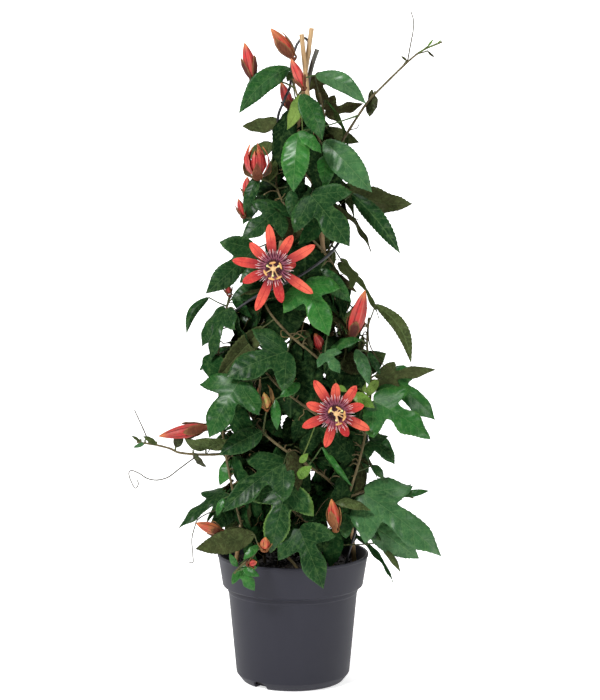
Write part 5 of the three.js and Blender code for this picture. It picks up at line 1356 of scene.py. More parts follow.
def bud_radius(share, width):
    """Radius of a closed bud at a share of its length."""
    return width / 2 * max(sin(pi * min(max(share, 0), 1) ** BUD_FULLNESS), 0) ** 0.8


class Bud:
    """A bud as its row gives it, with the measures that its bracts and stalk share."""

    def __init__(self, number, row):
        base, tip, self.width, bracts, turned, self.tone, self.bract_tone = row
        self.name = f"bud_{number:02d}"
        base = Vector(base)
        way = Vector(tip) - base
        self.length = way.length
        self.place = frame_along(base, way)
        self.turned = radians(turned)
        self.reach = self.length * bracts
        self.lean = self.width * (0.7 if bracts > 1 else 0.36)
        self.opening = number == OPENING_BUD
        self.close = not self.opening and bracts < 1
        self.foot = bud_radius(BUD_FEET[self.length < SMALL_BUD], self.width)
        self.stalk_end = base - way.normalized() * HOLDER_DEPTH / 2


def close_bract(shape, bud, angle, half_angle, phase):
    """A boat-shaped bract lying against its bud, wide at the foot and drawn out to a point."""
    rows, columns = 16, 10
    points, maps, tones = [], [], []
    for face in (1, 0):
        tone = mixed(bud.bract_tone, BRACT_UNDERSIDE, 0.0 if face else 0.3)
        for i in range(rows + 1):
            share = i / rows
            z = BRACT_START + (bud.reach - BRACT_START) * share
            half = half_angle * float(np.interp(share, (0, 0.3, 0.65, 0.9, 1), (0.8, 1, 0.72, 0.3, 0.03)))
            for k in range(columns + 1):
                across = k / columns * 2 - 1
                ripple = 0.25 * sin(share * 19 + phase) * across**2 + 0.4 * (1 - abs(across)) ** 6
                flare = 0.9 * share**3 + 0.5 * across**2 * share
                radius = max(bud.foot, bud_radius(z / bud.length, bud.width)) * 1.04
                radius += BRACT_SPACE + ripple + flare
                points.append(bud.place(spoke(angle + half * across) * (radius + face * 0.6) + raised(z)))
                maps.append((share, across, face))
                edge = max(0.0, abs(across) - 0.6) + max(0.0, share - 0.75) * 2
                tones.append(mixed(tone, BRACT_EDGE, min(edge, 0.6)))
    row, sheet = columns + 1, (rows + 1) * (columns + 1)
    faces = []
    for p, q, r, s in grid_faces(rows + 1, row):
        faces += [[p, q, r, s], [sheet + p, sheet + s, sheet + r, sheet + q]]
    edge = ([k for k in range(columns)] + [i * row + columns for i in range(rows)]
            + [rows * row + k for k in range(columns, 0, -1)] + [i * row for i in range(rows, 0, -1)])
    faces += [[q, p, sheet + p, sheet + q] for p, q in zip(edge, edge[1:] + edge[:1])]
    shape.add(points, faces, tone=tones, maps=maps)


def closed_bud(shape, place, length, width, tone):
    """A closed bud: five keeled sepals meeting in a blunt tip."""
    rows = [(bud_radius(s, width), length * s) for s in np.linspace(0.004, 0.99, 30)]

    def ripple(turn, z):
        share = z / length
        keel = abs((turn / (2 * pi) * 5) % 1 - 0.5) * 2
        return 1 + 0.09 * sin(pi * min(max(share, 0), 1)) ** 0.6 * (keel**2.2 - 0.4)

    shape.lathe([(0, 0)] + rows + [(0, length)], 40, place, ripple, tone=tone)


def make_bud(bud, sizes, finish):
    """A closed bud, or the opening one with its outer petals and inner crown round a small heart."""
    shape = Shape()
    if bud.opening:
        closed_bud(shape, bud.place, SMALL_BUD, bud.width * HEART_SHARE, bud.tone)
        under = mixed(bud.tone, (1, 0.3, 0.2, 1), 0.2)
        inner = mixed(bud.tone, sizes.petal_deep, 0.5)
        for i in range(OPENING_PETALS):
            turn = 2 * pi * i / OPENING_PETALS
            high = bud.length * OPENING_HEIGHTS[i % 2]
            opening_petal(shape, bud, turn, (0.15, 1.2), (OPENING_SPREADS[i % 3], high),
                          tone=bud.tone, under=under, wave=0.02, phase=i)
            opening_petal(shape, bud, turn + pi / OPENING_PETALS, (0.1, 1.5),
                          (CROWN_SPREADS[i % 3], high * CROWN_HEIGHTS[i % 2]),
                          tone=inner, under=bud.tone, wave=0.03, phase=i * 2)
    else:
        closed_bud(shape, bud.place, bud.length, bud.width, bud.tone)
    shape.build(bud.name + "_skin", [finish], "bud_skin", bud.name)


def opening_petal(shape, bud, turn, foot, head, **look):
    """A petal of the opening bud between two places, each a share of its width outwards and a height."""
    radial = spoke(turn)
    outwards = bud.place(radial) - bud.place(raised(0))
    low, high = (bud.place(radial * bud.width * spread + raised(height)) for spread, height in (foot, head))
    add_blade(shape, "bract", low, high, outwards, OPENING_WIDTH, samples=30, rings=6,
              thickness=PETAL_THICKNESS, **look)


def grow_holder(bud, nodes):
    """The cup and boat-shaped bracts under a bud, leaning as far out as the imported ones, and their vine."""
    shape = Shape()
    origin = bud.place(raised(0))
    cup = bud.foot + HOLDER_RIM if bud.close else bud.width * 0.2 + 0.6
    profile = [(0, -3.6), (0.9, -3.4), (cup * 0.8, -2.2), (cup + 0.2, -0.9), (cup, -GAP), (0, -GAP)]
    shape.lathe(profile, 16, bud.place, tone=bud.bract_tone)
    count = 3 if bud.length > SMALL_BUD else 2
    if bud.close:
        side, away = (bud.place(Vector(way)) - origin for way in ((1, 0, 0), (0, 1, 0)))
        front = atan2(-away.y, -side.y) + bud.turned + pi / count
        for i in range(count):
            angle = front + 2 * pi * i / count
            close_bract(shape, bud, angle, radians(BRACT_ANGLES[count]), i * 2.0 + bud.length)
        return shape, nearest_vine(nodes, bud.place(Vector((cup, 0, -GAP))))
    wide = min(1.1, 1.5 * bud.width / bud.reach)
    owner = None
    for i in range(count):
        radial = spoke(2 * pi * (i + 0.25) / count)
        outwards = bud.place(radial) - origin
        low = bud.place(radial * cup * 0.75 + raised(-GAP - 0.6))
        tips = [bud.place(radial * (bud.lean + step * BRACT_LEAN) + raised(bud.reach))
                for step in range(int(3 * bud.width / BRACT_LEAN) + 1)]
        best = (1e9, None, None)
        for step, high in enumerate(tips):
            _, _, n, _ = blade_frame(low, high, outwards)
            for vine, (_, tree) in nodes.items():
                miss = sum(tree.find(high + n * side * BLADE_THICKNESS / 2)[2] for side in (1, -1))
                best = min(best, (miss, step, vine))
        owner = owner or best[2]
        tone = bud.bract_tone
        add_blade(shape, "bract", low, tips[best[1]], outwards, wide, tone=tone, thickness=BRACT_THICKNESS,
                  under=mixed(tone, BRACT_UNDERSIDE, 0.3), rim=mixed(tone, BRACT_RIM, 0.4), samples=34,
                  teeth=9, tooth_depth=0.012, wave=0.02, phase=i * 2.0)
    return shape, owner


def held_stalk(shape, plant, vine, foot, tone):
    """The stalk of a flower or bud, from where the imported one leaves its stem."""
    points, _ = plant.nodes[vine]
    best = (1e9, None)
    for cost, stem_vine, spot in stalk_starts(plant.stems, foot):
        if stem_vine != vine:
            continue
        halfway = np.array(raised_route(spot, foot).spaced(2)[1])
        miss = np.sort(np.abs(np.linalg.norm(points - halfway, axis=1) - STALK_RADIUS))[:3].sum()
        best = min(best, (round(float(miss), 1) + cost * 1e-3, tuple(spot)))
    spot = Vector(best[1]) if best[1] else foot
    path = raised_route(on_stem(plant.stems, vine, spot), foot).spaced(16)
    shape.tube(path, [1.3 - 0.35 * min(1, i / 4) for i in range(17)], sides=9, tone=tone)


def raised_route(start, foot):
    """The way of a flower's or bud's stalk, its middle lifted by a share of its length."""
    middle = start.lerp(foot, 0.5)
    middle.z += STALK_RISE * (start - foot).length
    return Route([start, middle, foot], bend=True)


def make_bloom(bloom, sizes):
    """An open flower: petals with their cup, corona and column, each a piece."""
    name, centre, faces_way, folded, petals, stamens = bloom
    place = frame_along(centre, faces_way)
    way = Vector(faces_way).normalized()
    make_petals(name, place, way, petals, folded, sizes)
    make_corona(name, place, sizes)
    make_column(name, place, way, stamens, sizes)


def make_petals(name, place, way, petals, folded, sizes):
    """The cup and the petals, the outer ones a little lower, one of them folded back."""
    shape = Shape()
    cup = [(0, -BLOOM_CUP_DEPTH), (2, -BLOOM_CUP_DEPTH), (5.6, -2.4), (BLOOM_CUP_RADIUS, -0.6),
           (BLOOM_CUP_RADIUS, BLOOM_CUP_TOP), (0, BLOOM_CUP_TOP)]
    shape.lathe(rounded(cup, 0.8), 32, place, tone=sizes.corona_dark)
    under = mixed(sizes.petal_edge, sizes.petal_light, 0.4)
    for i, (degrees, length) in enumerate(petals):
        radial = spoke(radians(degrees))
        share, drop = (0.6, -0.7 * length) if i == folded else (1, -1 - 2 * (i % 3))
        low = place(radial * (BLOOM_CUP_RADIUS - 2.2) + raised(-0.4 if i % 2 else -0.9))
        high = place(radial * length * share + raised(drop))
        tone = mixed(sizes.petal_light, sizes.petal_deep, PETAL_DEPTHS[i])
        tone = mixed(tone, sizes.petal_edge, PETAL_GLOWS[i])
        add_blade(shape, "petal", low, high, way, PETAL_WIDTH / (length * 0.22), (i * 37 % 5 - 2) * 3.0,
                  tone=tone, under=under, samples=40, rings=7, wave=0.012, phase=i * 1.7,
                  thickness=PETAL_THICKNESS, curl=0.035 if i % 2 else 0.015, bend=0.02 * sin(i * 2.3))
    shape.build(name + "_petals_skin", [petal_finish(name + "_petal", sizes)], "petal", name + "_petals")


def make_corona(name, place, sizes):
    """The raised ring and its filaments, in long, middling and short turns."""
    low = BLOOM_CUP_TOP + GAP
    origin = place(raised(0))
    shape = Shape()
    hole, rim = CORONA_HOLE_RADIUS, CORONA_RING_RADIUS
    ring = [(0, low), (hole, low), (rim, low), (rim, low + 1.6), (4.6, low + 2.3), (hole, low + 2.4),
            (0, low + 0.8)]
    shape.lathe(ring, 36, place)
    for i in range(CORONA_FILAMENTS):
        turn = 2 * pi * (i + 0.25 * sin(i * 5.1)) / CORONA_FILAMENTS
        share, rise = (0.55, 4.4) if i % 3 == 2 else ((1, 4.2), (0.86, 3.0))[i % 2]
        reach = CORONA_RADIUS * share * (1 + 0.04 * sin(i * 7.3))
        profile = ((rim - 1.2, 1), (reach * 0.5, rise * 0.75), (reach * 0.8, rise), (reach, rise * 0.9))
        points = [place(Vector((cos(turn) * r, sin(turn) * r, low + z))) for r, z in profile]
        start = len(shape.points)
        shape.strand(points, 7, 0.40, 0.22, sides=6)
        for j in range(start, len(shape.points)):
            shape.maps[j] = ((Vector(shape.points[j]) - origin).length, 0, 0)
    threads = corona_finish(name + "_corona_skin", sizes)
    shape.build(name + "_corona_threads", [threads], "corona", name + "_corona")


def make_column(name, place, way, stamens, sizes):
    """The column with its ovary, five stamens and three stigmas."""
    low = BLOOM_CUP_TOP + GAP
    top = low + COLUMN_HEIGHT
    shape = Shape()
    stalk = [(0, low), (2.5, low), (COLUMN_RADIUS, low + 2), (COLUMN_RADIUS, top), (OVARY_RADIUS, top + 1.6),
             (OVARY_RADIUS * 0.8, top + 3.8), (0, top + 4.8)]
    shape.lathe(rounded(stalk, 0.8), 24, place, tone=sizes.column_colour)

    def arm(out, profile, thick, thin):
        path = [place(out * r + raised(top + z)) for r, z in profile]
        shape.strand(path, 8, thick, thin, tone=sizes.column_colour)

    for degrees in stamens:
        turn = radians(degrees)
        out = spoke(turn)
        reach = STAMEN_REACH * (1 - STAMEN_HANG * sin(turn))
        arm(out, ((0.06 * reach, -1), (0.35 * reach, -0.6), (0.7 * reach, -0.7), (reach, -1.3)), 0.75, 0.5)
        across = Vector((-out.y, out.x, 0))
        add_anther(shape, place, out * (reach + 0.2) + raised(top - 1.4), across, out, sizes.anther_colour)
    for i in range(STIGMAS):
        out = spoke(2 * pi * i / STIGMAS + 0.5)
        arm(out, ((0.4, 3), (3, 4.4), (6.2, 4.8)), 0.8, 0.55)
        knob = frame_along(place(out * 6.8 + raised(top + 4.6)), way)
        shape.lathe(STIGMA_PROFILE, 12, knob, tone=sizes.stigma_colour)
    grey, white = (0.9, 0.9, 0.9, 1), (1, 1, 1, 1)
    fleshy = skin_finish(name + "_column_skin", grey, white, 0.5, scale=900.0, depth=0.0002)
    shape.build(name + "_column_parts", [fleshy], "column", name + "_column")


def add_anther(shape, place, centre, across, out, tone):
    """A pollen sac: a long rounded body across the end of its filament."""
    up = across.cross(out)
    long, wide, deep = ANTHER_HALVES
    rings = []
    rows, sides = 9, 12
    for i in range(rows):
        share = -1 + 2 * i / (rows - 1)
        size = sqrt(max(1 - share**2, 0.02))
        for k in range(sides):
            turn = 2 * pi * k / sides
            groove = 1 - 0.25 * abs(cos(turn)) ** 8
            rings.append(place(centre + across * share * long + out * cos(turn) * size * wide * groove
                               + up * sin(turn) * size * deep))
    shape.add(rings, tube_faces(rows, sides), tone=tone)


class Plant:
    """The stems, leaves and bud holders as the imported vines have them."""

    def __init__(self):
        self.stems = grow_stems()
        self.nodes = {vine: read_node(f"vine_{vine}") for vine in VINES}
        ways = bends()
        draw = seeded_draw(SEED)
        self.leaves = []
        for index, row in enumerate(FRONT_LEAVES):
            leaf = settle(front_leaf(row, LEAF_BENDS.get(index, 0.0)), ways, self.nodes, self.stems)
            if not leaf:
                raise RuntimeError(f"front leaf not found in the packed vines: {row}")
            self.leaves.append(leaf)
        for index in range(RULE_LEAVES):
            leaf = settle(rule_leaf(index, draw), ways[:RULE_BENDS], self.nodes, self.stems)
            if leaf:
                self.leaves.append(leaf)
        self.buds = [Bud(number, row) for number, row in enumerate(BUDS, 1)]
        self.holders = [grow_holder(bud, self.nodes) for bud in self.buds]


def add_low_leaves(spots, wood, leaves, sizes, draw):
    """Small leaves close to the stems, inside the outer leaves, most of them near-black as painted shade."""
    for i in range(UNDERGROWTH_LEAVES):
        spot = Vector(spots[draw.integers(len(spots))])
        out = Vector((spot.x - axis_x(spot.z), spot.y, 0)).normalized()
        turn = draw.uniform(0, 2 * pi)
        way = (Vector((cos(turn), sin(turn), draw.uniform(-0.3, 0.9))) - out * 0.3).normalized()
        base = spot + way * draw.uniform(5, 20)
        length = draw.uniform(*UNDERGROWTH_LENGTHS)
        hang = way * 0.5 + raised(draw.uniform(-1.2, 0.3)) + Vector(draw.normal(0, 0.35, 3))
        tip = base + hang.normalized() * length
        reach = Vector((tip.x - axis_x(tip.z), tip.y, 0))
        if reach.length > along(LEAF_DISTANCES, tip.z) * UNDERGROWTH_REACH or tip.z < SOIL_TOP + 6:
            continue
        top, under, *_ = LOOKS[LOW_LOOKS[i % len(LOW_LOOKS)]]
        stalk = [spot, spot.lerp(base, 0.5) + raised(3), base]
        wood.strand(stalk, 4, 0.8, 0.6, sides=5, tone=sizes.stem_colour)
        wide, roll, phase = draw.uniform(1.0, 1.5), draw.uniform(-50, 50), draw.uniform(0, 6.28)
        add_blade(leaves, "simple", base, tip, (out.x, out.y, 0.6), wide, roll, tone=(*top, DULL_SHEEN),
                  under=(*under, DULL_SHEEN), samples=18, rings=3, teeth=7, tooth_depth=0.016, wave=0.03,
                  phase=phase)


def add_twines(spots, wood, sizes, draw):
    """Dry twining bits that wander from the stems and turn back at the leaves."""
    for _ in range(UNDERGROWTH_TWINES):
        path = [Vector(spots[draw.integers(len(spots))])]
        way = Vector(draw.normal(0, 1, 3)).normalized()
        for _ in range(5):
            way = (way + Vector(draw.normal(0, 0.7, 3))).normalized()
            path.append(path[-1] + way * 8)
            flat = Vector((path[-1].x - axis_x(path[-1].z), path[-1].y, 0))
            limit = along(LEAF_DISTANCES, path[-1].z)
            if flat.length > limit:
                path[-1] -= flat.normalized() * (flat.length - limit)
        tone = mixed(sizes.stem_colour, sizes.twine_colour, float(draw.uniform(0, 1)))
        wood.strand(path, 22, 0.6, 0.35, sides=5, tone=tone)


def add_inner_leaves(plant, vine, wood, leaves, sizes):
    """The leaves half hidden between the front leaves, on the vine that comes nearest."""
    for kind, base, tip, wide, roll, look in INNER_LEAVES:
        base = Vector(base)
        if vine != min(VINES, key=lambda v: (on_stem(plant.stems, v, base) - base).length):
            continue
        start = on_stem(plant.stems, vine, base)
        top, under, sheen, *_ = LOOKS[look]
        wood.strand([start, start.lerp(base, 0.5) + raised(4), base], 8, 1.1, 0.8, tone=sizes.stalk_colour)
        add_blade(leaves, kind, base, tip, (0, -1, 0.35), wide, roll, tone=(*top, sheen),
                  under=(*under, DULL_SHEEN), samples=44, teeth=18, tooth_depth=0.012, wave=0.025, dish=0.011,
                  flag=1.0 if kind == "lobed" else 0.0, phase=base.z)


def add_stems(plant, vine, wood, sizes):
    """A vine's stems, side shoots and tendrils, each thinner towards its tip."""
    for stem in plant.stems:
        if stem.vine != vine:
            continue
        shoot = stem.radius == SHOOT_RADIUS
        count, thin, thick = (60, 0.6, stem.radius * 1.5) if shoot else (150, 0.75, stem.radius)
        path = stem.route.spaced(count)
        grow = len(path)
        radii = [thick * (1 - (1 - thin) * i / grow) * (1 + 0.06 * sin(i * 0.9)) for i in range(grow)]
        young = shoot and path[-1].z > YOUNG_SHOOT_HEIGHT
        wood.tube(path, radii, sides=12, tone=sizes.shoot_colour if young else sizes.stem_colour)
    for owner, route in TENDRILS:
        if owner == vine:
            path = [on_stem(plant.stems, vine, route[0]), *route[1:]]
            wood.strand(path, 90, TENDRIL_RADIUS * 1.5, TENDRIL_RADIUS, tone=sizes.tendril_colour)


def add_flower_stalks(plant, vine, wood, sizes):
    """The holders of a vine's buds, and the stalks of its buds and flowers."""
    for bud, (holder, owner) in zip(plant.buds, plant.holders):
        if owner == vine:
            wood.join(holder)
            held_stalk(wood, plant, vine, bud.stalk_end, sizes.stalk_colour)
    for _, centre, faces_way, *_ in BLOOMS:
        way = Vector(faces_way).normalized()
        foot = Vector(centre) - way * (BLOOM_CUP_DEPTH + GAP + 1.2)
        if nearest_vine(plant.nodes, foot) == vine:
            held_stalk(wood, plant, vine, foot, sizes.stalk_colour)
            neck = [foot - way * 1.8, foot, foot + way * 0.8]
            wood.tube(neck, [1.0, 1.9, 2.1], sides=14, tone=sizes.stalk_colour)


def add_leaves(plant, vine, wood, leaves, sizes):
    """A vine's leaves on their stalks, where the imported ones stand."""
    draw = np.random.default_rng(SEED + vine)
    for place, leaf in enumerate(plant.leaves):
        if leaf.vine != vine:
            continue
        top, under, sheen, rim, wave = LOOKS[leaf.look]
        if place >= len(FRONT_LEAVES):
            sheen = DULL_SHEEN
        size = (leaf.tip - leaf.base).length
        start = on_stem(plant.stems, vine, leaf.spot)
        _, a, n, _ = blade_frame(leaf.base, leaf.tip, leaf.facing, leaf.roll)
        inner = leaf.base + a * min(4, size * 0.07) - n * 0.3
        sag = start.lerp(leaf.base, 0.5) + raised(-0.02 * (start - leaf.base).length)
        wood.tube(Route([start, sag, leaf.base - n * 0.4, inner]).spaced(12), LEAF_STALK_RADII,
                  tone=mixed((*top, 1), sizes.stalk_colour, 0.6))
        lobed = leaf.kind in ("lobed", "threefold")
        samples = int(np.clip(size * (1.3 if lobed else 1.0), 24, 108))
        teeth, depth, flag = (30, 0.013, 1.0) if lobed else (18, 0.012, 0.0)
        add_blade(leaves, leaf.kind, leaf.base, leaf.tip, leaf.facing, leaf.wide, leaf.roll,
                  tone=(*top, sheen), under=(*under, DULL_SHEEN), rim=(*rim, sheen) if rim else None,
                  samples=samples, teeth=teeth, tooth_depth=depth, wave=0.027 * wave, dish=0.011, flag=flag,
                  phase=float(draw.uniform(0, 6.28)), bend=leaf.bend)


def make_vine(plant, vine, sizes, stem_skin, leaf_skin):
    """A vine as two pieces: its stems and stalks, and its leaves."""
    wood, leaves = Shape(), Shape()
    add_stems(plant, vine, wood, sizes)
    add_flower_stalks(plant, vine, wood, sizes)
    add_leaves(plant, vine, wood, leaves, sizes)
    draw = np.random.default_rng(SEED * 10 + vine)
    spots = np.concatenate([stem.smooth for stem in plant.stems
                            if stem.vine == vine and stem.radius == STEM_RADIUS])
    low, high = UNDERGROWTH_HEIGHTS
    spots = spots[(spots[:, 2] > low) & (spots[:, 2] < high)]
    add_low_leaves(spots, wood, leaves, sizes, draw)
    add_twines(spots, wood, sizes, draw)
    add_inner_leaves(plant, vine, wood, leaves, sizes)
    node = f"vine_{vine}"
    wood.build(f"{node}_stems", [stem_skin], "foliage", node)
    leaves.build(f"{node}_leaves", [leaf_skin], "foliage", node)


# ---------------- the stage


def add_camera(scene, sizes):
    """The camera in front of the plant, and the scene's plain view."""
    lens = bpy.data.cameras.new("camera")
    lens.lens, lens.sensor_width = sizes.lens, SENSOR_WIDTH
    lens.clip_end = CLIP_END
    camera = linked("camera", lens)
    camera.location = (CAMERA_SIDE, -sizes.distance, sizes.camera_height)
    camera.rotation_euler = (pi / 2 - sizes.camera_tilt, 0, 0)
    scene.camera = camera
    scene.view_settings.view_transform = "Standard"


def paper_finish(name):
    """White studio paper that glows by the tone of its points."""
    finish = Finish(name)
    grain = finish.noise(8.0)
    white = finish.mix(grain, (0.90, 0.90, 0.90, 1), (0.93, 0.93, 0.93, 1))
    return finish.set(Base_Color=white, Roughness=0.9, Emission_Color=finish.tone(), Emission_Strength=1.0)


def add_sweep(sizes):
    """Floor and wall of white paper, glowing less near the pot, where the lamps already light it."""
    back = SWEEP_ROWS[-1]
    sweep = [(y, 0.0) for y in SWEEP_ROWS]
    for t in np.linspace(0, pi / 2, 12)[1:]:
        sweep.append((back + SWEEP_BEND * sin(t), SWEEP_BEND * (1 - cos(t))))
    sweep.append((back + SWEEP_BEND, SWEEP_HEIGHT))
    points = [(x, y, z - SWEEP_DROP) for y, z in sweep for x in SWEEP_COLUMNS]
    floor_points = (len(SWEEP_ROWS) - 1) * len(SWEEP_COLUMNS)
    faces = [face for face in grid_faces(len(sweep), len(SWEEP_COLUMNS))
             if face[0] < floor_points or abs(points[face[0]][0] + points[face[1]][0]) < WALL_WIDTH]
    mesh = bpy.data.meshes.new("sweep")
    mesh.from_pydata(points, [], faces)
    mesh.polygons.foreach_set("use_smooth", [True] * len(faces))
    glow = mesh.color_attributes.new("tone", "FLOAT_COLOR", "POINT")
    for spot, (x, y, _) in zip(glow.data, points):
        far = min(max((hypot(x, y) - GLOW_START) / GLOW_SPAN, 0), 1)
        light = sizes.paper_glow + (1 - sizes.paper_glow) * far
        spot.color = (light, light, light, 1)
    mesh.materials.append(paper_finish("studio_paper"))
    linked("studio_sweep", mesh)


def add_lights(scene, sizes):
    """Three square lamps that face the plant, and soft light from all round."""
    for name, place, power, size in (
        ("key", KEY_PLACE, sizes.key_power, KEY_SIZE),
        ("fill", FILL_PLACE, sizes.fill_power, SOFT_SIZE),
        ("top", TOP_PLACE, sizes.fill_power, SOFT_SIZE),
    ):
        lamp = bpy.data.lights.new(name, "AREA")
        lamp.energy, lamp.size, lamp.shape = power, size, "SQUARE"
        light = linked(name, lamp)
        light.location = place
        light.rotation_euler = (Vector(LAMP_AIM) - Vector(place)).to_track_quat("-Z", "Y").to_euler()
    world = bpy.data.worlds.new("studio")
    world.use_nodes = True
    background = world.node_tree.nodes["Background"]
    background.inputs["Color"].default_value = (1, 1, 1, 1)
    background.inputs["Strength"].default_value = sizes.room_light
    scene.world = world


# ---------------- the add-on


def colour(name, about, *rgb):
    """A colour that the user may change."""
    return FloatVectorProperty(name=name, description=about, default=(*rgb, 1), size=4, min=0, max=1,
                               subtype="COLOR")


def number(name, about, value, **kind):
    """A number that the user may change, with its unit or subtype."""
    return FloatProperty(name=name, description=about, default=value, **kind)


class VinePotSizes(bpy.types.PropertyGroup):
    """Colours of the pot, soil, canes and wire."""

    pot_colour: colour("Pot", "Moulded plastic of the pot", 0.020, 0.020, 0.029)
    pot_scuff: colour("Pot scuffs", "Lighter haze on the plastic", 0.034, 0.034, 0.044)
    compost_dark: colour("Compost", "Damp peat", 0.008, 0.006, 0.005)
    compost_light: colour("Compost crumbs", "Drier fibres", 0.040, 0.028, 0.019)
    cane_dark: colour("Cane shade", "Dark fibres of the bamboo", 0.33, 0.20, 0.085)
    cane_light: colour("Cane", "Pale fibres of the bamboo", 0.62, 0.43, 0.23)
    old_cane: colour("Old cane shade", "Weathered fibres", 0.030, 0.028, 0.022)
    old_cane_light: colour("Old cane", "Grey-green weathered skin", 0.13, 0.125, 0.095)
    wire_colour: colour("Wire", "Black coating of the wire", 0.008, 0.008, 0.010)
    wire_haze: colour("Wire haze", "Worn film on the coating", 0.03, 0.032, 0.036)


class VinePlantSizes(bpy.types.PropertyGroup):
    """Colours of the living plant."""

    vein_colour: colour("Veins", "Lighter veins of the leaves", 0.20, 0.33, 0.12)
    leaf_shade: colour("Leaf shade", "Multiplies the leaves' dark patches", 0.42, 0.50, 0.50)
    # The yellow-green of the light flecks is partly painted sheen.
    leaf_fleck_and_sheen: colour("Leaf light", "Yellow-green of the leaves' light flecks", 0.20, 0.33, 0.10)
    stem_colour: colour("Stems", "Olive-brown bark", 0.155, 0.125, 0.060)
    shoot_colour: colour("Young shoot", "Olive shoot", 0.125, 0.100, 0.050)
    stalk_colour: colour("Stalks", "Flower and leaf stalks", 0.10, 0.12, 0.045)
    tendril_colour: colour("Tendrils", "Curling tendrils", 0.055, 0.045, 0.020)
    twine_colour: colour("Twines", "Dry twining bits inside the plant", 0.20, 0.15, 0.06)
    petal_light: colour("Petal", "Red-orange of the petals", 0.76, 0.090, 0.058)
    petal_deep: colour("Petal shade", "Deep red in the folds", 0.46, 0.012, 0.016)
    petal_edge: colour("Petal edge", "Orange edges and backs", 0.78, 0.21, 0.10)
    petal_base: colour("Petal base", "Maroon near the corona", 0.30, 0.015, 0.020)
    corona_dark: colour("Corona", "Maroon disc", 0.050, 0.006, 0.016)
    filament_light: colour("Filament light", "Pale bands and tips", 0.72, 0.52, 0.52)
    filament_pink: colour("Filament pink", "Pink bands", 0.34, 0.085, 0.14)
    column_colour: colour("Column", "Peach column", 0.66, 0.42, 0.20)
    anther_colour: colour("Anthers", "Tan pollen sacs", 0.62, 0.34, 0.12)
    stigma_colour: colour("Stigmas", "Greenish knobs", 0.62, 0.60, 0.25)
    bud_keel: colour("Bud keels", "Pale coral ridges of the buds", 0.50, 0.14, 0.10)
    bud_furrow: colour("Bud furrows", "Dark lines between the sepals", 0.11, 0.012, 0.012)
    bud_tip: colour("Bud tip", "Golden tips of the buds", 0.62, 0.30, 0.07)


class VineStageSizes(bpy.types.PropertyGroup):
    """Camera and lights."""

    lens: number("Lens", "Focal length of the camera", 102.1, unit="CAMERA")
    distance: number("Distance", "From the plant to the camera", 2.2, unit="LENGTH")
    camera_height: number("Camera height", "Over the floor", 0.617, unit="LENGTH")
    camera_tilt: number("Camera tilt", "Looking down", radians(6.3), subtype="ANGLE")
    key_power: number("Key light", "Light at the upper left", 72.0, unit="POWER")
    fill_power: number("Fill light", "Light at the right and from above", 16.0, unit="POWER")
    paper_glow: number("Paper glow", "Light of the paper near the pot", 0.68, subtype="FACTOR")
    room_light: number("Room light", "Soft light from all round", 0.10, subtype="FACTOR")


class VINE_OT_pot(bpy.types.Operator):
    """Make the nursery pot"""

    bl_idname = "vine.pot"
    bl_label = "Pot"

    def execute(self, context):
        make_pot(context.scene.vine_pot)
        return {"FINISHED"}


class VINE_OT_soil(bpy.types.Operator):
    """Make the compost"""

    bl_idname = "vine.soil"
    bl_label = "Soil"

    def execute(self, context):
        make_soil(context.scene.vine_pot)
        return {"FINISHED"}


class VINE_OT_canes(bpy.types.Operator):
    """Make the three canes"""

    bl_idname = "vine.canes"
    bl_label = "Canes"

    def execute(self, context):
        make_canes(context.scene.vine_pot)
        return {"FINISHED"}


class VINE_OT_wire(bpy.types.Operator):
    """Make the wire spiral"""

    bl_idname = "vine.wire"
    bl_label = "Wire"

    def execute(self, context):
        make_wire(context.scene.vine_pot)
        return {"FINISHED"}


class VINE_OT_vines(bpy.types.Operator):
    """Make the six vines with their leaves, stalks and tendrils"""

    bl_idname = "vine.vines"
    bl_label = "Vines"

    def execute(self, context):
        sizes = context.scene.vine_plant
        plant = Plant()
        bark = (0.45, 0.42, 0.38, 1)
        stem_skin = skin_finish("stem_skin", bark, (1, 1, 1, 1), 0.55, streak=(1, 1, 0.2), scale=700.0)
        leaf_skin = leaf_finish("leaf_skin", sizes)
        for vine in VINES:
            make_vine(plant, vine, sizes, stem_skin, leaf_skin)
        return {"FINISHED"}


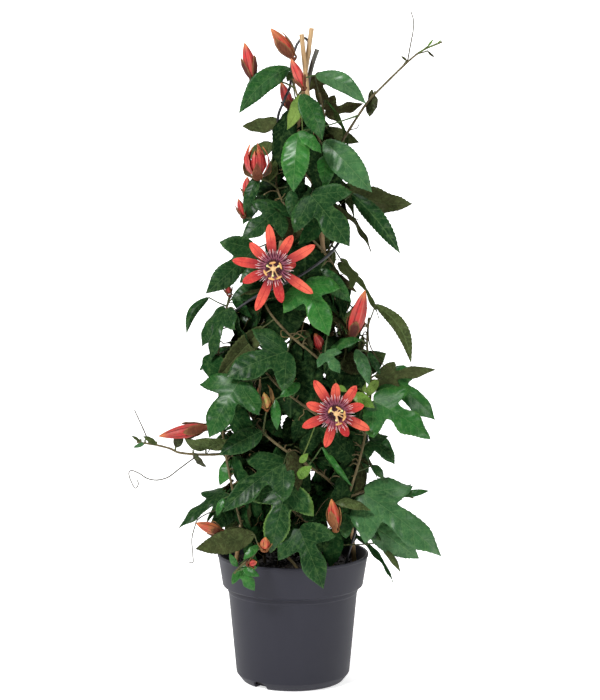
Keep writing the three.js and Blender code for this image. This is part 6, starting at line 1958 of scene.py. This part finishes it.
class VINE_OT_buds(bpy.types.Operator):
    """Make the buds"""

    bl_idname = "vine.buds"
    bl_label = "Buds"

    def execute(self, context):
        sizes = context.scene.vine_plant
        finish = bud_finish("bud_skin", sizes)
        for place, row in enumerate(BUDS, 1):
            make_bud(Bud(place, row), sizes, finish)
        return {"FINISHED"}


class VINE_OT_blooms(bpy.types.Operator):
    """Make the two open flowers"""

    bl_idname = "vine.blooms"
    bl_label = "Blooms"

    def execute(self, context):
        for bloom in BLOOMS:
            make_bloom(bloom, context.scene.vine_plant)
        return {"FINISHED"}


class VINE_OT_stage(bpy.types.Operator):
    """Make the paper sweep, the lights and the camera"""

    bl_idname = "vine.stage"
    bl_label = "Stage"

    def execute(self, context):
        scene = context.scene
        add_camera(scene, scene.vine_stage)
        add_sweep(scene.vine_stage)
        add_lights(scene, scene.vine_stage)
        return {"FINISHED"}


STEPS = ("stage", "pot", "soil", "canes", "wire", "vines", "buds", "blooms")


class VINE_PT_panel(bpy.types.Panel):
    """Lists the steps that make the plant, with their colours"""

    bl_label = "Passion Flower Vine"
    bl_idname = "VINE_PT_panel"
    bl_space_type = "VIEW_3D"
    bl_region_type = "UI"
    bl_category = "Vine"

    def draw(self, context):
        for step in STEPS:
            self.layout.operator("vine." + step)
        for group in (context.scene.vine_pot, context.scene.vine_plant, context.scene.vine_stage):
            box = self.layout.box()
            for name in group.__annotations__:
                box.prop(group, name)


CLASSES = (VinePotSizes, VinePlantSizes, VineStageSizes, VINE_OT_pot, VINE_OT_soil, VINE_OT_canes,
           VINE_OT_wire, VINE_OT_vines, VINE_OT_buds, VINE_OT_blooms, VINE_OT_stage, VINE_PT_panel)


def register():
    for cls in CLASSES:
        bpy.utils.register_class(cls)
    bpy.types.Scene.vine_pot = PointerProperty(type=VinePotSizes)
    bpy.types.Scene.vine_plant = PointerProperty(type=VinePlantSizes)
    bpy.types.Scene.vine_stage = PointerProperty(type=VineStageSizes)


def unregister():
    del bpy.types.Scene.vine_pot, bpy.types.Scene.vine_plant, bpy.types.Scene.vine_stage
    for cls in reversed(CLASSES):
        bpy.utils.unregister_class(cls)


def main():
    register()
    for step in STEPS:
        getattr(bpy.ops.vine, step)()


if __name__ == "__main__":
    main()
